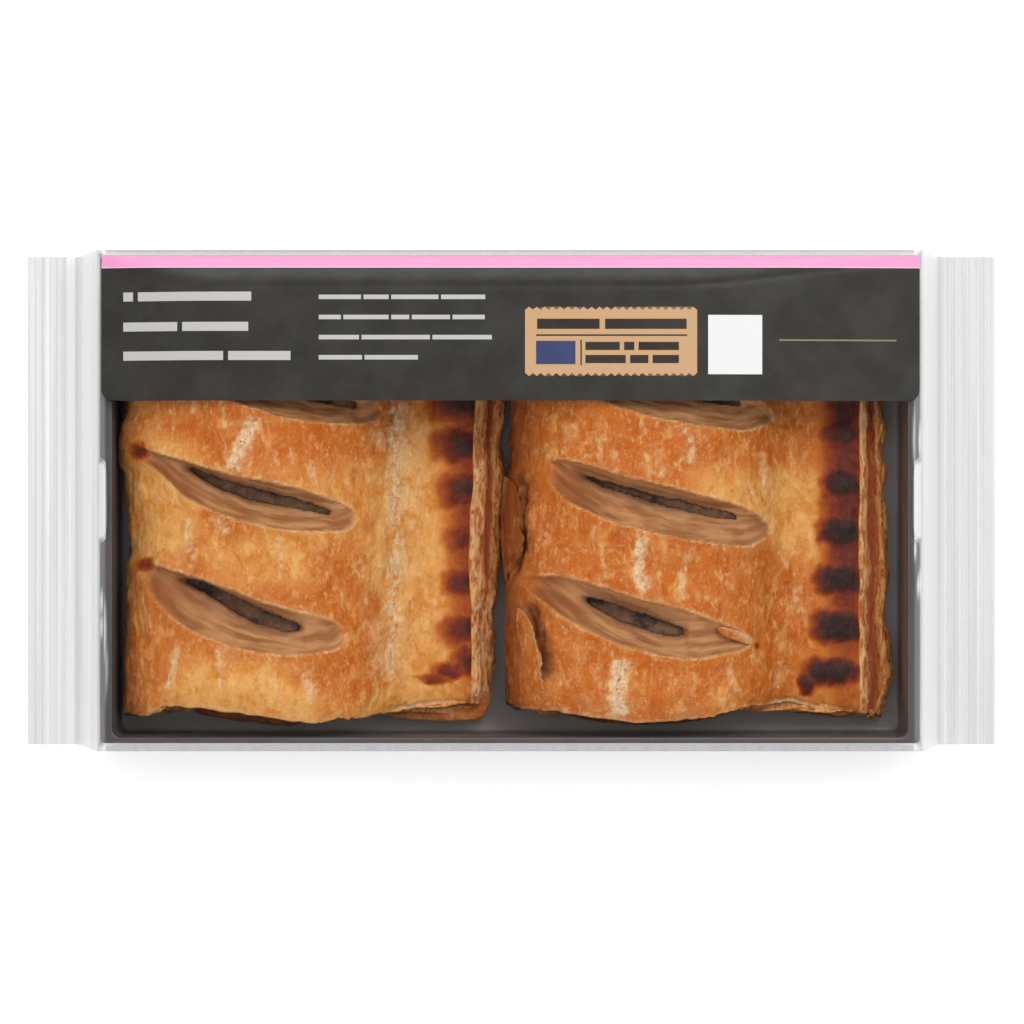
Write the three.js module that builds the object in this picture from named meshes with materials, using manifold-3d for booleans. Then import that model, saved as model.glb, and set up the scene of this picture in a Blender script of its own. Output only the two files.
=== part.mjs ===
// A sealed retail pack of two slashed puff pastry sausage rolls, in millimetres, +Z up.
// The pack lies flat. +X runs along its length, from one crimped end seal to the other.
// The origin is under the middle of the pack, on the surface that the pack rests on.
//
// Two rolls lie side by side in a shallow dark tray. Clear film is wrapped round the tray,
// crimped shut at both ends and joined along a lap on the underside. A plain label lies on
// the film over the far third of the rolls.

import * as THREE from "three";
import { mergeVertices } from "three/addons/utils/BufferGeometryUtils.js";
import Module from "manifold-3d";

const wasm = await Module();
wasm.setup();

// ---------- driving dimensions ----------

const GAP = 0.3; // clearance kept between pieces that touch

const PACK = { left: -113.3, right: 113.3, halfWidth: 58.5 };

const FILM = {
  thickness: 0.4,
  crownZ: 36.7, // inside of the film over the tops of the rolls
  rimZ: 26.2, // inside of the film where it bends over the tray rim
  fallLeft: 0.49, // how steeply it falls from the rolls to each side of the rim
  fallRight: 0.22,
  fallEnds: 1.7,
  bend: 3.0, // softness of its bends
  foldsX: [-84, -73, -62, -20, 20, 40, 55, 75], // where its top is bent, along the pack
  foldsY: [22, 40, 49.9, 53.9, 57.0], // and across it, on both sides of the middle
  shoulderDrop: 1.2, // how far below the rim its sides turn upright
  waistZ: 12, // its sides draw in a little below this height
  waistLean: 0.5,
  footRound: 1.2, // rounding where its sides turn under the tray
  footReach: 3.2, // its flat underside ends this far inside its sides
  lapY: -16, // where its two edges meet on the underside
  lapOpening: 0.6,
};

const SEAL = {
  leftStart: -102.2, // where the film lies flat on itself and the crimp begins
  rightStart: 100.4,
  halfWidth: 57.2,
  z: 12.6,
  thickness: 1.0,
  ridges: 6,
  ridgeHeight: 0.35,
};

const TRAY = {
  left: -95.7,
  right: 95.0,
  front: -56.5,
  back: 57.1,
  bottomZ: 0.7,
  rimZ: 25.4,
  wall: 0.8,
  lip: 0.4, // thickness of the flange's turned-down edge
  flangeX: 2.8, // width of the flange on the short sides
  flangeY: 1.4, // and on the long sides
  slopeX: 0.9, // how much the short walls lean in from the rim to the floor
  slopeY: 0.7,
  rimCorner: 1.0,
  pocketCorner: 2.0,
  footRadius: 0.8,
  notchHalfWidth: 9.5, // finger notch in the flange of each short side
  notchDepth: 1.3,
};

const LABEL = {
  left: -95.3,
  right: 94.9,
  front: 23.1,
  back: 57.0,
  thickness: 0.3,
  cornerRadius: 2.8,
};

const ROLL = {
  length: 102.4,
  floorZ: TRAY.bottomZ + TRAY.wall + GAP,
  crownHeight: 33.2,
  crimpPitch: 11,
  crimpFrom: 72.5, // the pressed seam runs along the roll between these two
  crimpTo: 84,
  crimpHeight: 1.7,
  lipHeight: 1.1,
  lipSpread: 3.2,
  relief: 0.35, // unevenness of the crust
  endRound: 7, // the crown sinks towards each cut end over this length
  endSink: 0.14, // by this share of its height
  lowerSheetFrom: 8, // the cut edge's lower sheet lies below this height
  lowerSheetReach: 0.8, // how far the lower sheet stands out at the near end
  undercut: 1.1, // how far the underside stands back at both ends
  edgeStart: 82.6, // the cut edge lies beyond this x
  edgeWidth: 7.8,
  cornerLength: 7.5, // the near corner of the lower sheet is rounded off over this length
};

// Outline of a roll across its length, from the fold on the left, over the crown, down to
// the pressed seam, and in between the two sheets at its cut edge. Each pair is x and z.
const CRUST_OUTLINE = [
  [6.5, 0],
  [1.6, 3.2],
  [0.3, 9.5],
  [1.6, 18.5],
  [7.8, 27.2],
  [19, 32.0],
  [33, 33.2],
  [46, 31.0],
  [57, 24.4],
  [64, 16.2],
  [70, 12.9],
  [78, 12.4],
  [83.5, 12.0],
];
const CUT_EDGE = [
  [86.2, 9.6],
  [85.4, 7.7],
  [89.3, 6.4],
  [90.4, 3.8],
  [89.0, 0],
];
const UNDERSIDE = [
  [70, 0],
  [50, 0],
  [30, 0],
];

const FILLING = {
  centreX: 33,
  centreZ: 16.2,
  halfWidth: 25,
  halfHeight: 11.2,
  fullness: 2.4, // 2 is an ellipse, more is squarer
  recess: 1.0, // how far it ends inside the cut pastry
};

// nearEnd gives how far the cut end at y = 0 stands back, as pairs of x and distance.
// edge gives how far the cut edge stands out along the roll: y, then the distance at its upper
// and at its lower sheet. foldIn gives how far the folded side stands in: y and distance.
// cornerRound is how far the lower sheet's near corner is rounded off.
// blunt is how round the right ends of the slashes are, from 0 to 1.
// cornerReach is how far the lower sheet stands out at the near end of the seam.
// firstBlock is the middle of the seam's first raised block.
// Each slash runs from one x to another. At even steps between them, far and near are the y
// of its two rims, and bottom is the y of its deepest line.
const LEFT_ROLL = {
  name: "left",
  x: -91.8,
  y: -50.4,
  seed: 3,
  firstBlock: 8.2,
  cornerReach: 2.8,
  cornerRound: 2.8,
  blunt: 1,
  edge: [
    [0, -0.7, -3.4],
    [12, -0.6, -3.3],
    [24, -0.7, -3.2],
    [29, -1.2, -1.9],
    [36, -1.4, -1.1],
    [46, -1.0, -0.8],
    [55, -0.3, -0.4],
    [63, -0.4, -1.3],
    [70, 0, -0.3],
    [76, 0.3, 0],
    [102.4, 0.3, 0],
  ],
  foldIn: [
    [0, 0.9],
    [27, 0.9],
    [34.5, 1.2],
    [38.2, 2.6],
    [45.6, 2.1],
    [56, 1.5],
    [60.3, 0.1],
    [64, 0.1],
    [73, 1.2],
    [102.4, 1.0],
  ],
  nearEnd: [
    [0, 0.8],
    [5.5, 0],
    [10.8, 2.5],
    [17.5, 2.2],
    [27, 1.2],
    [39, -0.6],
    [48, -1.6],
    [55, -0.8],
    [61, 0.5],
    [69, 1.6],
    [82, 2.6],
    [92, 2.6],
  ],
  slashes: [
    {
      from: 3.4,
      to: 53.2,
      far: [36.0, 35.1, 33.4, 31.4, 29.1, 26.7, 24.9, 23.2, 19.3],
      near: [34.0, 26.4, 21.1, 18.4, 16.2, 15.0, 14.6, 15.3, 18.4],
      bottom: [35.0, 33.2, 31.6, 29.2, 26.2, 23.3, 21.5, 20.3, 18.9],
    },
    {
      from: 2.8,
      to: 55.7,
      far: [63.6, 61.6, 59.5, 57.6, 55.8, 54.6, 53.1, 50.7, 46.8],
      near: [61.8, 56.8, 51.2, 48.1, 45.7, 44.2, 43.4, 43.4, 45.5],
      bottom: [62.7, 59.4, 57.6, 54.9, 52.8, 51.4, 50.0, 48.2, 46.2],
    },
    {
      from: 8.6,
      to: 61.5,
      far: [88.6, 86.6, 84.5, 82.6, 80.8, 79.6, 78.1, 75.7, 71.8],
      near: [86.8, 81.8, 76.2, 73.1, 70.7, 69.2, 68.4, 68.4, 70.5],
      bottom: [87.7, 84.4, 82.6, 79.9, 77.8, 76.4, 75.0, 73.2, 71.2],
    },
  ],
};
const RIGHT_ROLL = {
  name: "right",
  x: -2.3,
  y: -49.6,
  seed: 8,
  firstBlock: 9.2,
  cornerReach: 0.6,
  cornerRound: 0.8,
  blunt: 0.25,
  edge: [
    [0, 0.6, -0.6],
    [4, 0.6, -0.3],
    [9.6, 0.7, 1.1],
    [13, 0.5, 0.6],
    [23, 0.5, -0.9],
    [31, 0.7, -0.2],
    [38, 0.4, -0.1],
    [50, 0.6, -0.5],
    [57, 0.7, -0.6],
    [61, 0.7, -1.9],
    [68, 0.6, -0.9],
    [74, 0.8, -1.8],
    [102.4, 0.8, -1.4],
  ],
  foldIn: [
    [0, 0.8],
    [10, 0.3],
    [45, 0.2],
    [50, 1.5],
    [58, 1.9],
    [73, 1.9],
    [102.4, 1.2],
  ],
  nearEnd: [
    [0, 2.6],
    [4, 1.0],
    [12, 0.7],
    [22, -0.9],
    [34, -2.1],
    [46, -0.9],
    [60, 1.6],
    [67, 2.4],
    [74, 0.7],
    [84, -0.4],
    [92, 0.4],
  ],
  slashes: [
    {
      from: 3.5,
      to: 57.7,
      far: [31.9, 32.2, 31.3, 29.3, 27.1, 25.4, 23.5, 20.9, 17.3],
      near: [30.7, 25.4, 20.7, 17.5, 15.1, 13.5, 12.8, 13.9, 15.7],
      bottom: [31.3, 29.6, 27.2, 24.5, 22.2, 20.2, 19.0, 18.0, 16.5],
    },
    {
      from: 7.9,
      to: 62.8,
      far: [58.3, 59.1, 57.3, 55.0, 53.5, 51.8, 49.9, 47.8, 42.8],
      near: [56.8, 49.8, 46.3, 43.8, 42.0, 40.6, 39.7, 39.1, 42.0],
      bottom: [57.5, 56.0, 53.8, 52.1, 50.0, 48.7, 47.0, 45.6, 42.4],
    },
    {
      from: 8.5,
      to: 63.4,
      far: [85.1, 85.9, 84.1, 81.8, 80.3, 78.6, 76.7, 74.6, 69.6],
      near: [83.6, 76.6, 73.1, 70.6, 68.8, 67.4, 66.5, 65.9, 68.8],
      bottom: [84.3, 82.8, 80.6, 78.9, 76.8, 75.5, 73.8, 72.4, 69.2],
    },
  ],
};
const SLASH_DEPTH = 7.8;
const SLASH_BOTTOM = 1.3; // half the width of its bottom

// ---------- small helpers ----------

const clamp01 = (t) => Math.min(1, Math.max(0, t));

function smoothstep(from, to, value) {
  const t = clamp01((value - from) / (to - from));
  return t * t * (3 - 2 * t);
}

// The lower of two heights, with a rounded bend of the given softness where they cross.
function softMin(a, b, softness) {
  const h = clamp01(0.5 + (0.5 * (b - a)) / softness);
  return b + (a - b) * h - softness * h * (1 - h);
}

// Uneven ripples between about -1 and 1. Each seed gives other ripples.
function ripple(x, y, seed) {
  const first = Math.sin(0.31 * x + 0.17 * y + 1.7 * seed);
  const second = Math.sin(0.13 * x - 0.41 * y + 2.9 * seed + 1.3 * first);
  const third = Math.sin(0.53 * x + 0.61 * y + 0.7 * seed + 1.1 * second);
  return 0.4 * first + 0.35 * second + 0.25 * third;
}

function signedVolume(positions, faces) {
  const a = new THREE.Vector3();
  const b = new THREE.Vector3();
  const c = new THREE.Vector3();
  let sum = 0;
  for (const [i, j, k] of faces) {
    a.fromArray(positions, 3 * i);
    b.fromArray(positions, 3 * j);
    c.fromArray(positions, 3 * k);
    sum += a.dot(b.cross(c)) / 6;
  }
  return sum;
}

// A closed body from rings with the same number of points. Neighbouring rings are joined
// by a band of triangles, and the first and last ring are filled. flatten gives the two
// coordinates in which a filled ring is seen flat. A taut body folds each four-cornered patch
// along its higher diagonal, so that sheets that lie on each other fold the same way.
function loft(rings, flatten = (p) => [p.x, p.y], taut = false) {
  const around = rings[0].length;
  const positions = rings.flat().flatMap((p) => [p.x, p.y, p.z]);
  const faces = [];
  const last = (rings.length - 1) * around;
  const height = (index) => positions[3 * index + 2];
  for (let near = 0; near < last; near += around) {
    const far = near + around;
    for (let i = 0; i < around; i++) {
      const next = (i + 1) % around;
      const rising = height(near + i) + height(far + next);
      const falling = height(near + next) + height(far + i);
      if (taut && falling > rising) {
        faces.push([near + i, near + next, far + i]);
        faces.push([near + next, far + next, far + i]);
      } else {
        faces.push([near + i, near + next, far + next]);
        faces.push([near + i, far + next, far + i]);
      }
    }
  }
  for (const [i, j, k] of fillRing(rings[0], flatten)) {
    faces.push([k, j, i]);
  }
  for (const [i, j, k] of fillRing(rings.at(-1), flatten)) {
    faces.push([last + i, last + j, last + k]);
  }
  if (signedVolume(positions, faces) < 0) {
    faces.forEach((face) => face.reverse());
  }
  const geometry = new THREE.BufferGeometry();
  geometry.setAttribute("position", new THREE.Float32BufferAttribute(positions, 3));
  geometry.setIndex(faces.flat());
  return geometry;
}

const acrossRoll = (p) => [p.x, p.z];
const acrossPack = (p) => [p.y, p.z];

// Triangles that fill a ring, turned the way that the ring runs when joined by loft.
function fillRing(ring, flatten) {
  const outline = ring.map((p) => new THREE.Vector2(...flatten(p)));
  const turned = THREE.ShapeUtils.isClockWise(outline);
  const order = ring.map((_, i) => (turned ? ring.length - 1 - i : i));
  const filled = THREE.ShapeUtils.triangulateShape(
    order.map((i) => outline[i]),
    [],
  );
  return filled.map((face) => {
    const [i, j, k] = face.map((index) => order[index]);
    return turned ? [k, j, i] : [i, j, k];
  });
}

function toSolid(geometry) {
  const bare = geometry.clone();
  bare.deleteAttribute("normal");
  bare.deleteAttribute("uv");
  const merged = mergeVertices(bare, 1e-4);
  return new wasm.Manifold(
    new wasm.Mesh({
      numProp: 3,
      vertProperties: new Float32Array(merged.attributes.position.array),
      triVerts: new Uint32Array(merged.index.array),
    }),
  );
}

function toGeometry(solid) {
  const mesh = solid.getMesh();
  const geometry = new THREE.BufferGeometry();
  geometry.setAttribute("position", new THREE.BufferAttribute(mesh.vertProperties, 3));
  geometry.setIndex(new THREE.BufferAttribute(mesh.triVerts, 1));
  geometry.computeVertexNormals();
  return geometry;
}

function addMesh(parent, name, geometry, material) {
  const mesh = new THREE.Mesh(geometry, material);
  mesh.name = name;
  parent.add(mesh);
  return mesh;
}

// ---------- materials ----------

const crust = new THREE.MeshStandardMaterial({ color: "#cf8a49", roughness: 0.55 });
const meat = new THREE.MeshStandardMaterial({ color: "#7d6150", roughness: 0.6 });
const trayPlastic = new THREE.MeshStandardMaterial({ color: "#3f3c3a", roughness: 0.35 });
const clearFilm = new THREE.MeshStandardMaterial({
  color: "#eef0f2",
  roughness: 0.1,
  transparent: true,
  opacity: 0.25,
});
const labelPaper = new THREE.MeshStandardMaterial({ color: "#3d3a36", roughness: 0.5 });

// ---------- a sausage roll ----------

// The value at share t of the way through a list of evenly spaced values.
function along(values, t) {
  const place = clamp01(t) * (values.length - 1);
  const index = Math.min(values.length - 2, Math.floor(place));
  return THREE.MathUtils.lerp(values[index], values[index + 1], place - index);
}

// The pastry stands up in a lip on both sides of a slash, more on the near side.
function slashLips(slashes, x, y) {
  let height = 0;
  for (const { from, to, far, near } of slashes) {
    const t = clamp01((x - from) / (to - from));
    const beyondFar = y - along(far, t);
    const beyondNear = along(near, t) - y;
    const fromEdge = Math.max(beyondFar, beyondNear);
    const side = beyondNear > beyondFar ? 1 : 0.6;
    const fade = Math.exp(-Math.pow(fromEdge / ROLL.lipSpread, 2));
    height += ROLL.lipHeight * side * Math.sin(Math.PI * t) * fade;
  }
  return height;
}

// The seam is pressed by a toothed wheel: raised blocks with grooves between them.
function crimp(roll, x, y) {
  const phase = ((y - roll.firstBlock) / ROLL.crimpPitch) * 2 * Math.PI;
  const block = smoothstep(-0.75, 0.1, Math.cos(phase));
  const inside = smoothstep(ROLL.crimpFrom - 2, ROLL.crimpFrom + 1, x);
  const before = 1 - smoothstep(ROLL.crimpTo - 1, ROLL.crimpTo + 1.5, x);
  return ROLL.crimpHeight * (block - 0.6) * inside * before;
}

// A smooth value from rows that start with a place. column tells which value is meant.
function fromRows(rows, place, column = 1) {
  const upper = Math.max(1, rows.findIndex(([at]) => at >= place));
  const before = rows[upper - 1];
  const after = rows[upper];
  const share = smoothstep(before[0], after[0], place);
  return THREE.MathUtils.lerp(before[column], after[column], share);
}

// How far the two cut ends are from straight.
function nearWave(roll, x) {
  return fromRows(roll.nearEnd, x);
}

function farWave(roll, x) {
  return 0.8 * Math.sin(1.3 * roll.seed - 0.085 * x) + 0.4 * Math.sin(0.27 * x + 2.3 * roll.seed);
}

// The outline of the crust, dense over the top and sparse underneath.
function crustOutline() {
  const spline = new THREE.SplineCurve(CRUST_OUTLINE.map(([x, z]) => new THREE.Vector2(x, z)));
  const top = spline.getSpacedPoints(32).map((p) => [p.x, p.y]);
  return [...top, ...CUT_EDGE, ...UNDERSIDE];
}

// How far a point of the outline moves along x at one y.
function sideways(roll, x, z, y) {
  const inward = 1 - smoothstep(4, 16, x);
  const fold = fromRows(roll.foldIn, y) * inward * smoothstep(1, 9, z);
  const outward = clamp01((x - ROLL.edgeStart) / ROLL.edgeWidth);
  const upper = fromRows(roll.edge, y, 1);
  const lower = fromRows(roll.edge, y, 2);
  const edge = smoothstep(66, 80, x) * THREE.MathUtils.lerp(upper, lower, outward);
  const rough = x > ROLL.edgeStart ? ROLL.relief * (ripple(2 * z, 1.3 * y, roll.seed) - 1) : 0;
  const inCorner = z < ROLL.lowerSheetFrom ? smoothstep(84, 89, x) : 0;
  const corner = Math.pow(1 - clamp01(y / ROLL.cornerLength), 2) * inCorner;
  return fold + edge + rough - roll.cornerRound * corner;
}

// One point of the crust. share runs from 0 at the near end to 1 at the far end.
function crustPoint(roll, [x, z], share) {
  const y = share * ROLL.length;
  const fromEnd = Math.min(y, ROLL.length - y);
  const lift = z / ROLL.crownHeight;
  const endRounding = 1 - ROLL.endSink * Math.pow(1 - clamp01(fromEnd / ROLL.endRound), 2);
  const swell = 1 + 0.02 * Math.sin(0.23 * y + roll.seed) - 0.02;
  const aboveFloor = z > 1;
  const relief = aboveFloor ? ROLL.relief * ripple(1.7 * x, 1.7 * y, roll.seed) : 0;
  const onTop = smoothstep(0.3, 0.6, lift);
  const lips = onTop * slashLips(roll.slashes, x, y);
  const upperSheet = z > ROLL.lowerSheetFrom;
  const pressed = upperSheet ? crimp(roll, x, y) : 0;
  const reach = ROLL.lowerSheetReach + roll.cornerReach * smoothstep(66, 72, x);
  const lowerSheet = aboveFloor && !upperSheet ? reach : 0;
  const undercut = aboveFloor ? 0 : ROLL.undercut;
  const near = nearWave(roll, x) - lowerSheet + undercut;
  const far = farWave(roll, x) - undercut;
  return new THREE.Vector3(
    x + sideways(roll, x, z, y),
    y + near * (1 - share) + far * share,
    z * endRounding * swell + relief + lips + pressed,
  );
}

function crustBody(roll) {
  const outline = crustOutline();
  const step = ROLL.crimpPitch / 4;
  const count = Math.round(ROLL.length / step);
  const rings = [];
  for (let i = 0; i <= count; i++) {
    rings.push(outline.map((point) => crustPoint(roll, point, i / count)));
  }
  return toSolid(loft(rings, acrossRoll));
}

// The meat, or with grow above zero the room that it lies in.
function fillingBody(roll, grow) {
  const power = 2 / FILLING.fullness;
  const around = 20;
  const stations = 12;
  const rings = [];
  for (let i = 0; i <= stations; i++) {
    const share = i / stations;
    const atEnd = i === 0 || i === stations;
    const scale = atEnd && grow === 0 ? 0.93 : 1;
    const ring = [];
    for (let k = 0; k < around; k++) {
      const angle = (k / around) * 2 * Math.PI;
      const c = Math.cos(angle);
      const s = Math.sin(angle);
      const wobble = 1 + 0.02 * ripple(14 * c + 9 * s, 0.9 * ROLL.length * share, roll.seed + 2);
      const halfWidth = FILLING.halfWidth * scale * wobble + grow;
      const halfHeight = FILLING.halfHeight * scale * wobble + grow;
      const x = FILLING.centreX + halfWidth * Math.sign(c) * Math.pow(Math.abs(c), power);
      const z = FILLING.centreZ + halfHeight * Math.sign(s) * Math.pow(Math.abs(s), power);
      const reach = grow > 0 ? -4 : FILLING.recess;
      const near = nearWave(roll, x) + reach;
      const far = farWave(roll, x) - reach;
      const y = ROLL.length * share + near * (1 - share) + far * share;
      ring.push(new THREE.Vector3(x, y, z));
    }
    rings.push(ring);
  }
  return toSolid(loft(rings, acrossRoll));
}

// Height of the crown over the tray floor, without its relief.
function crownZ(x) {
  const points = CRUST_OUTLINE.slice(3);
  const upper = points.findIndex(([px]) => px >= x);
  const [x1, z1] = points[Math.max(0, upper - 1)];
  const [x2, z2] = points[Math.max(1, upper)];
  return THREE.MathUtils.lerp(z1, z2, (x - x1) / (x2 - x1));
}

// Half the width of a slash at share t along it. Its right end can be blunt.
function slashHalfWidth({ far, near }, t, blunt) {
  const half = (along(far, t) - along(near, t)) / 2;
  const steps = far.length - 1;
  const lastHalf = (far[steps - 1] - near[steps - 1]) / 2;
  const intoEnd = clamp01(steps * t - steps + 1);
  const round = lastHalf * Math.sqrt(1 - intoEnd * intoEnd);
  return intoEnd > 0 ? THREE.MathUtils.lerp(half, round, blunt) : half;
}

// The knife's cut. Its far wall is steep, and its near wall has sunk open.
function slashCutter(slash, blunt) {
  const { from, to, far, near, bottom } = slash;
  const stations = 16;
  const rings = [];
  for (let i = 0; i <= stations; i++) {
    const t = i / stations;
    const x = THREE.MathUtils.lerp(from, to, t);
    const open = Math.pow(Math.sin(Math.PI * t), 0.7);
    const depth = SLASH_DEPTH * open + 0.2;
    const half = SLASH_BOTTOM * open + 0.05;
    const surface = crownZ(x);
    const middleY = (along(far, t) + along(near, t)) / 2;
    const halfWidth = slashHalfWidth(slash, t, blunt);
    const farY = middleY + halfWidth;
    const nearY = middleY - halfWidth;
    const bottomY = along(bottom, t);
    const profile = [
      [nearY - 0.8, 6],
      [nearY, 1],
      [bottomY - half, -depth],
      [bottomY + half, -depth],
      [farY, 1],
      [farY + 0.8, 6],
    ];
    rings.push(profile.map(([y, up]) => new THREE.Vector3(x, y, surface + up)));
  }
  return toSolid(loft(rings, acrossPack));
}

function buildRoll(roll) {
  const group = new THREE.Group();
  group.position.set(roll.x, roll.y, ROLL.floorZ);
  let pastry = crustBody(roll).subtract(fillingBody(roll, GAP));
  for (const slash of roll.slashes) {
    pastry = pastry.subtract(slashCutter(slash, roll.blunt));
  }
  addMesh(group, `pastry_${roll.name}`, toGeometry(pastry), crust);
  addMesh(group, `filling_${roll.name}`, toGeometry(fillingBody(roll, 0)), meat);
  return group;
}

// ---------- the tray ----------

// A rounded rectangle, set in from the rim by insetX and insetY. Its short sides step in by
// notch over the finger notch.
function trayRing(insetX, insetY, z, radius, notch) {
  const left = TRAY.left + insetX;
  const right = TRAY.right - insetX;
  const front = TRAY.front + insetY;
  const back = TRAY.back - insetY;
  const arcSteps = 4;
  const ring = [];
  const corner = (x, y, startAngle) => {
    for (let i = 0; i <= arcSteps; i++) {
      const angle = startAngle + (i / arcSteps) * (Math.PI / 2);
      ring.push(new THREE.Vector3(x + radius * Math.cos(angle), y + radius * Math.sin(angle), z));
    }
  };
  const notchSide = (x, inward, direction) => {
    for (const [reach, depth] of [[1.12, 0], [1, 1], [-1, 1], [-1.12, 0]]) {
      const y = -direction * reach * TRAY.notchHalfWidth;
      ring.push(new THREE.Vector3(x + inward * depth * notch, y, z));
    }
  };
  corner(right - radius, back - radius, 0);
  corner(left + radius, back - radius, Math.PI / 2);
  notchSide(left, 1, -1);
  corner(left + radius, front + radius, Math.PI);
  corner(right - radius, front + radius, 1.5 * Math.PI);
  notchSide(right, -1, 1);
  return ring;
}

function buildTray() {
  const { bottomZ, rimZ, wall, lip, flangeX, flangeY, slopeX, slopeY, footRadius } = TRAY;
  const footX = flangeX + slopeX;
  const footY = flangeY + slopeY;
  const lipZ = rimZ - 2.4 * wall;
  const rim = (inset, z) => trayRing(inset, inset, z, TRAY.rimCorner, TRAY.notchDepth);
  const pocket = (x, y, inset, z) => trayRing(x + inset, y + inset, z, TRAY.pocketCorner, 0);
  return loft([
    pocket(footX, footY, footRadius - wall, bottomZ),
    pocket(footX, footY, -wall, bottomZ + footRadius),
    pocket(flangeX, flangeY, -wall, rimZ - wall),
    rim(lip, rimZ - wall),
    rim(lip, lipZ),
    rim(0, lipZ),
    rim(0, rimZ),
    pocket(flangeX, flangeY, 0, rimZ),
    pocket(footX, footY, 0, bottomZ + footRadius + wall),
    pocket(footX, footY, footRadius, bottomZ + wall),
  ]);
}

// ---------- the film ----------

// Height of the inside of the film, drawn tight from the tray rim over the rolls.
function filmTop(x, y) {
  const fromLeft = FILM.rimZ + FILM.fallLeft * (x - TRAY.left);
  const fromRight = FILM.rimZ + FILM.fallRight * (TRAY.right - x);
  const fromFront = FILM.rimZ + FILM.fallEnds * (y - TRAY.front);
  const fromBack = FILM.rimZ + FILM.fallEnds * (TRAY.back - y);
  let z = softMin(fromLeft, fromRight, FILM.bend);
  z = softMin(z, FILM.crownZ + 0.6, FILM.bend);
  z = softMin(z, fromFront, FILM.bend);
  z = softMin(z, fromBack, FILM.bend);
  return Math.max(z, TRAY.rimZ + GAP);
}

// How far the film has closed from the tray, 0, to the crimp, 1.
function closing(x) {
  if (x < TRAY.left) {
    return clamp01((TRAY.left - 1 - x) / (TRAY.left - 1 - SEAL.leftStart));
  }
  return clamp01((x - TRAY.right - 1) / (SEAL.rightStart - TRAY.right - 1));
}

// The film round the tray at one x, as a strip from one edge of the lap, round the back,
// over the top and round the front to the other edge of the lap. inset is 0 on its
// outside and the film's thickness on its inside.
function filmStrip(x, inset) {
  const close = closing(x);
  const half = THREE.MathUtils.lerp(PACK.halfWidth, SEAL.halfWidth, smoothstep(0, 1, close));
  const sealTop = SEAL.z + SEAL.thickness / 2 - 0.05;
  const sealBottom = SEAL.z - SEAL.thickness / 2 + 0.05;
  const ease = Math.pow(close, 0.85);
  const outside = FILM.thickness - inset;
  const top = (y) => THREE.MathUtils.lerp(filmTop(x, y) + outside, sealTop - inset, ease);
  const bottom = (z) => THREE.MathUtils.lerp(z + inset, sealBottom + inset, ease);
  const side = half - inset;
  const shoulder = THREE.MathUtils.lerp(FILM.rimZ - FILM.shoulderDrop, SEAL.z + 0.02, ease);
  const waist = THREE.MathUtils.lerp(FILM.waistZ, SEAL.z - 0.02, ease);
  const lean = FILM.waistLean;
  const foot = FILM.footRound;
  const flatHalf = half - FILM.footReach;
  const lapHalf = FILM.lapOpening / 2;
  const bottomRight = [FILM.lapY + lapHalf, 10, 35, flatHalf];
  const squeeze = half / PACK.halfWidth;
  const farSide = FILM.foldsY.map((y) => y * squeeze).reverse();
  const nearSide = FILM.foldsY.map((y) => -y * squeeze);
  const strip = [];
  bottomRight.forEach((y) => strip.push([y, bottom(0)]));
  strip.push([side - foot, bottom(foot)], [side - lean, waist], [side, shoulder]);
  [...farSide, 0, ...nearSide].forEach((y) => strip.push([y, top(y)]));
  strip.push([-side, shoulder], [lean - side, waist], [foot - side, bottom(foot)]);
  [-flatHalf, -35, FILM.lapY - lapHalf].forEach((y) => strip.push([y, bottom(0)]));
  return strip.map(([y, z]) => new THREE.Vector3(x, y, z));
}

// A crimped end: both layers of film pressed into one ridged strip.
function endSeal(from, to) {
  const steps = 2 * SEAL.ridges;
  const rings = [];
  for (let i = 0; i <= steps; i++) {
    const x = THREE.MathUtils.lerp(from, to, i / steps);
    const ridge = i % 2 ? SEAL.ridgeHeight : -SEAL.ridgeHeight;
    const z = SEAL.z + ridge * (i === 0 ? 0 : 1);
    const half = SEAL.halfWidth;
    const thin = SEAL.thickness / 2;
    const ring = [];
    for (const [y, side] of [[-half, -1], [0, -1], [half, -1], [half, 1], [0, 1], [-half, 1]]) {
      ring.push(new THREE.Vector3(x, y, z + side * thin));
    }
    rings.push(ring);
  }
  return toSolid(loft(rings, acrossPack));
}

function buildFilm() {
  const overlap = 1.2;
  const slopeShares = [0, 0.4, 0.75, 1];
  const leftSlope = slopeShares.map((t) =>
    THREE.MathUtils.lerp(SEAL.leftStart, TRAY.left - 1, t),
  );
  const rightSlope = slopeShares.map((t) =>
    THREE.MathUtils.lerp(SEAL.rightStart, TRAY.right + 1, t),
  );
  const stations = [
    SEAL.leftStart - overlap,
    ...leftSlope,
    TRAY.left + 1.5,
    ...FILM.foldsX,
    TRAY.right - 1.5,
    ...rightSlope.reverse(),
    SEAL.rightStart + overlap,
  ];
  const rings = stations.map((x) => {
    const outside = filmStrip(x, 0);
    const inside = filmStrip(x, FILM.thickness).reverse();
    return [...outside, ...inside];
  });
  const tube = toSolid(loft(rings, acrossPack, true));
  return tube
    .add(endSeal(SEAL.leftStart, PACK.left))
    .add(endSeal(SEAL.rightStart, PACK.right));
}

// ---------- the label ----------

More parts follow.
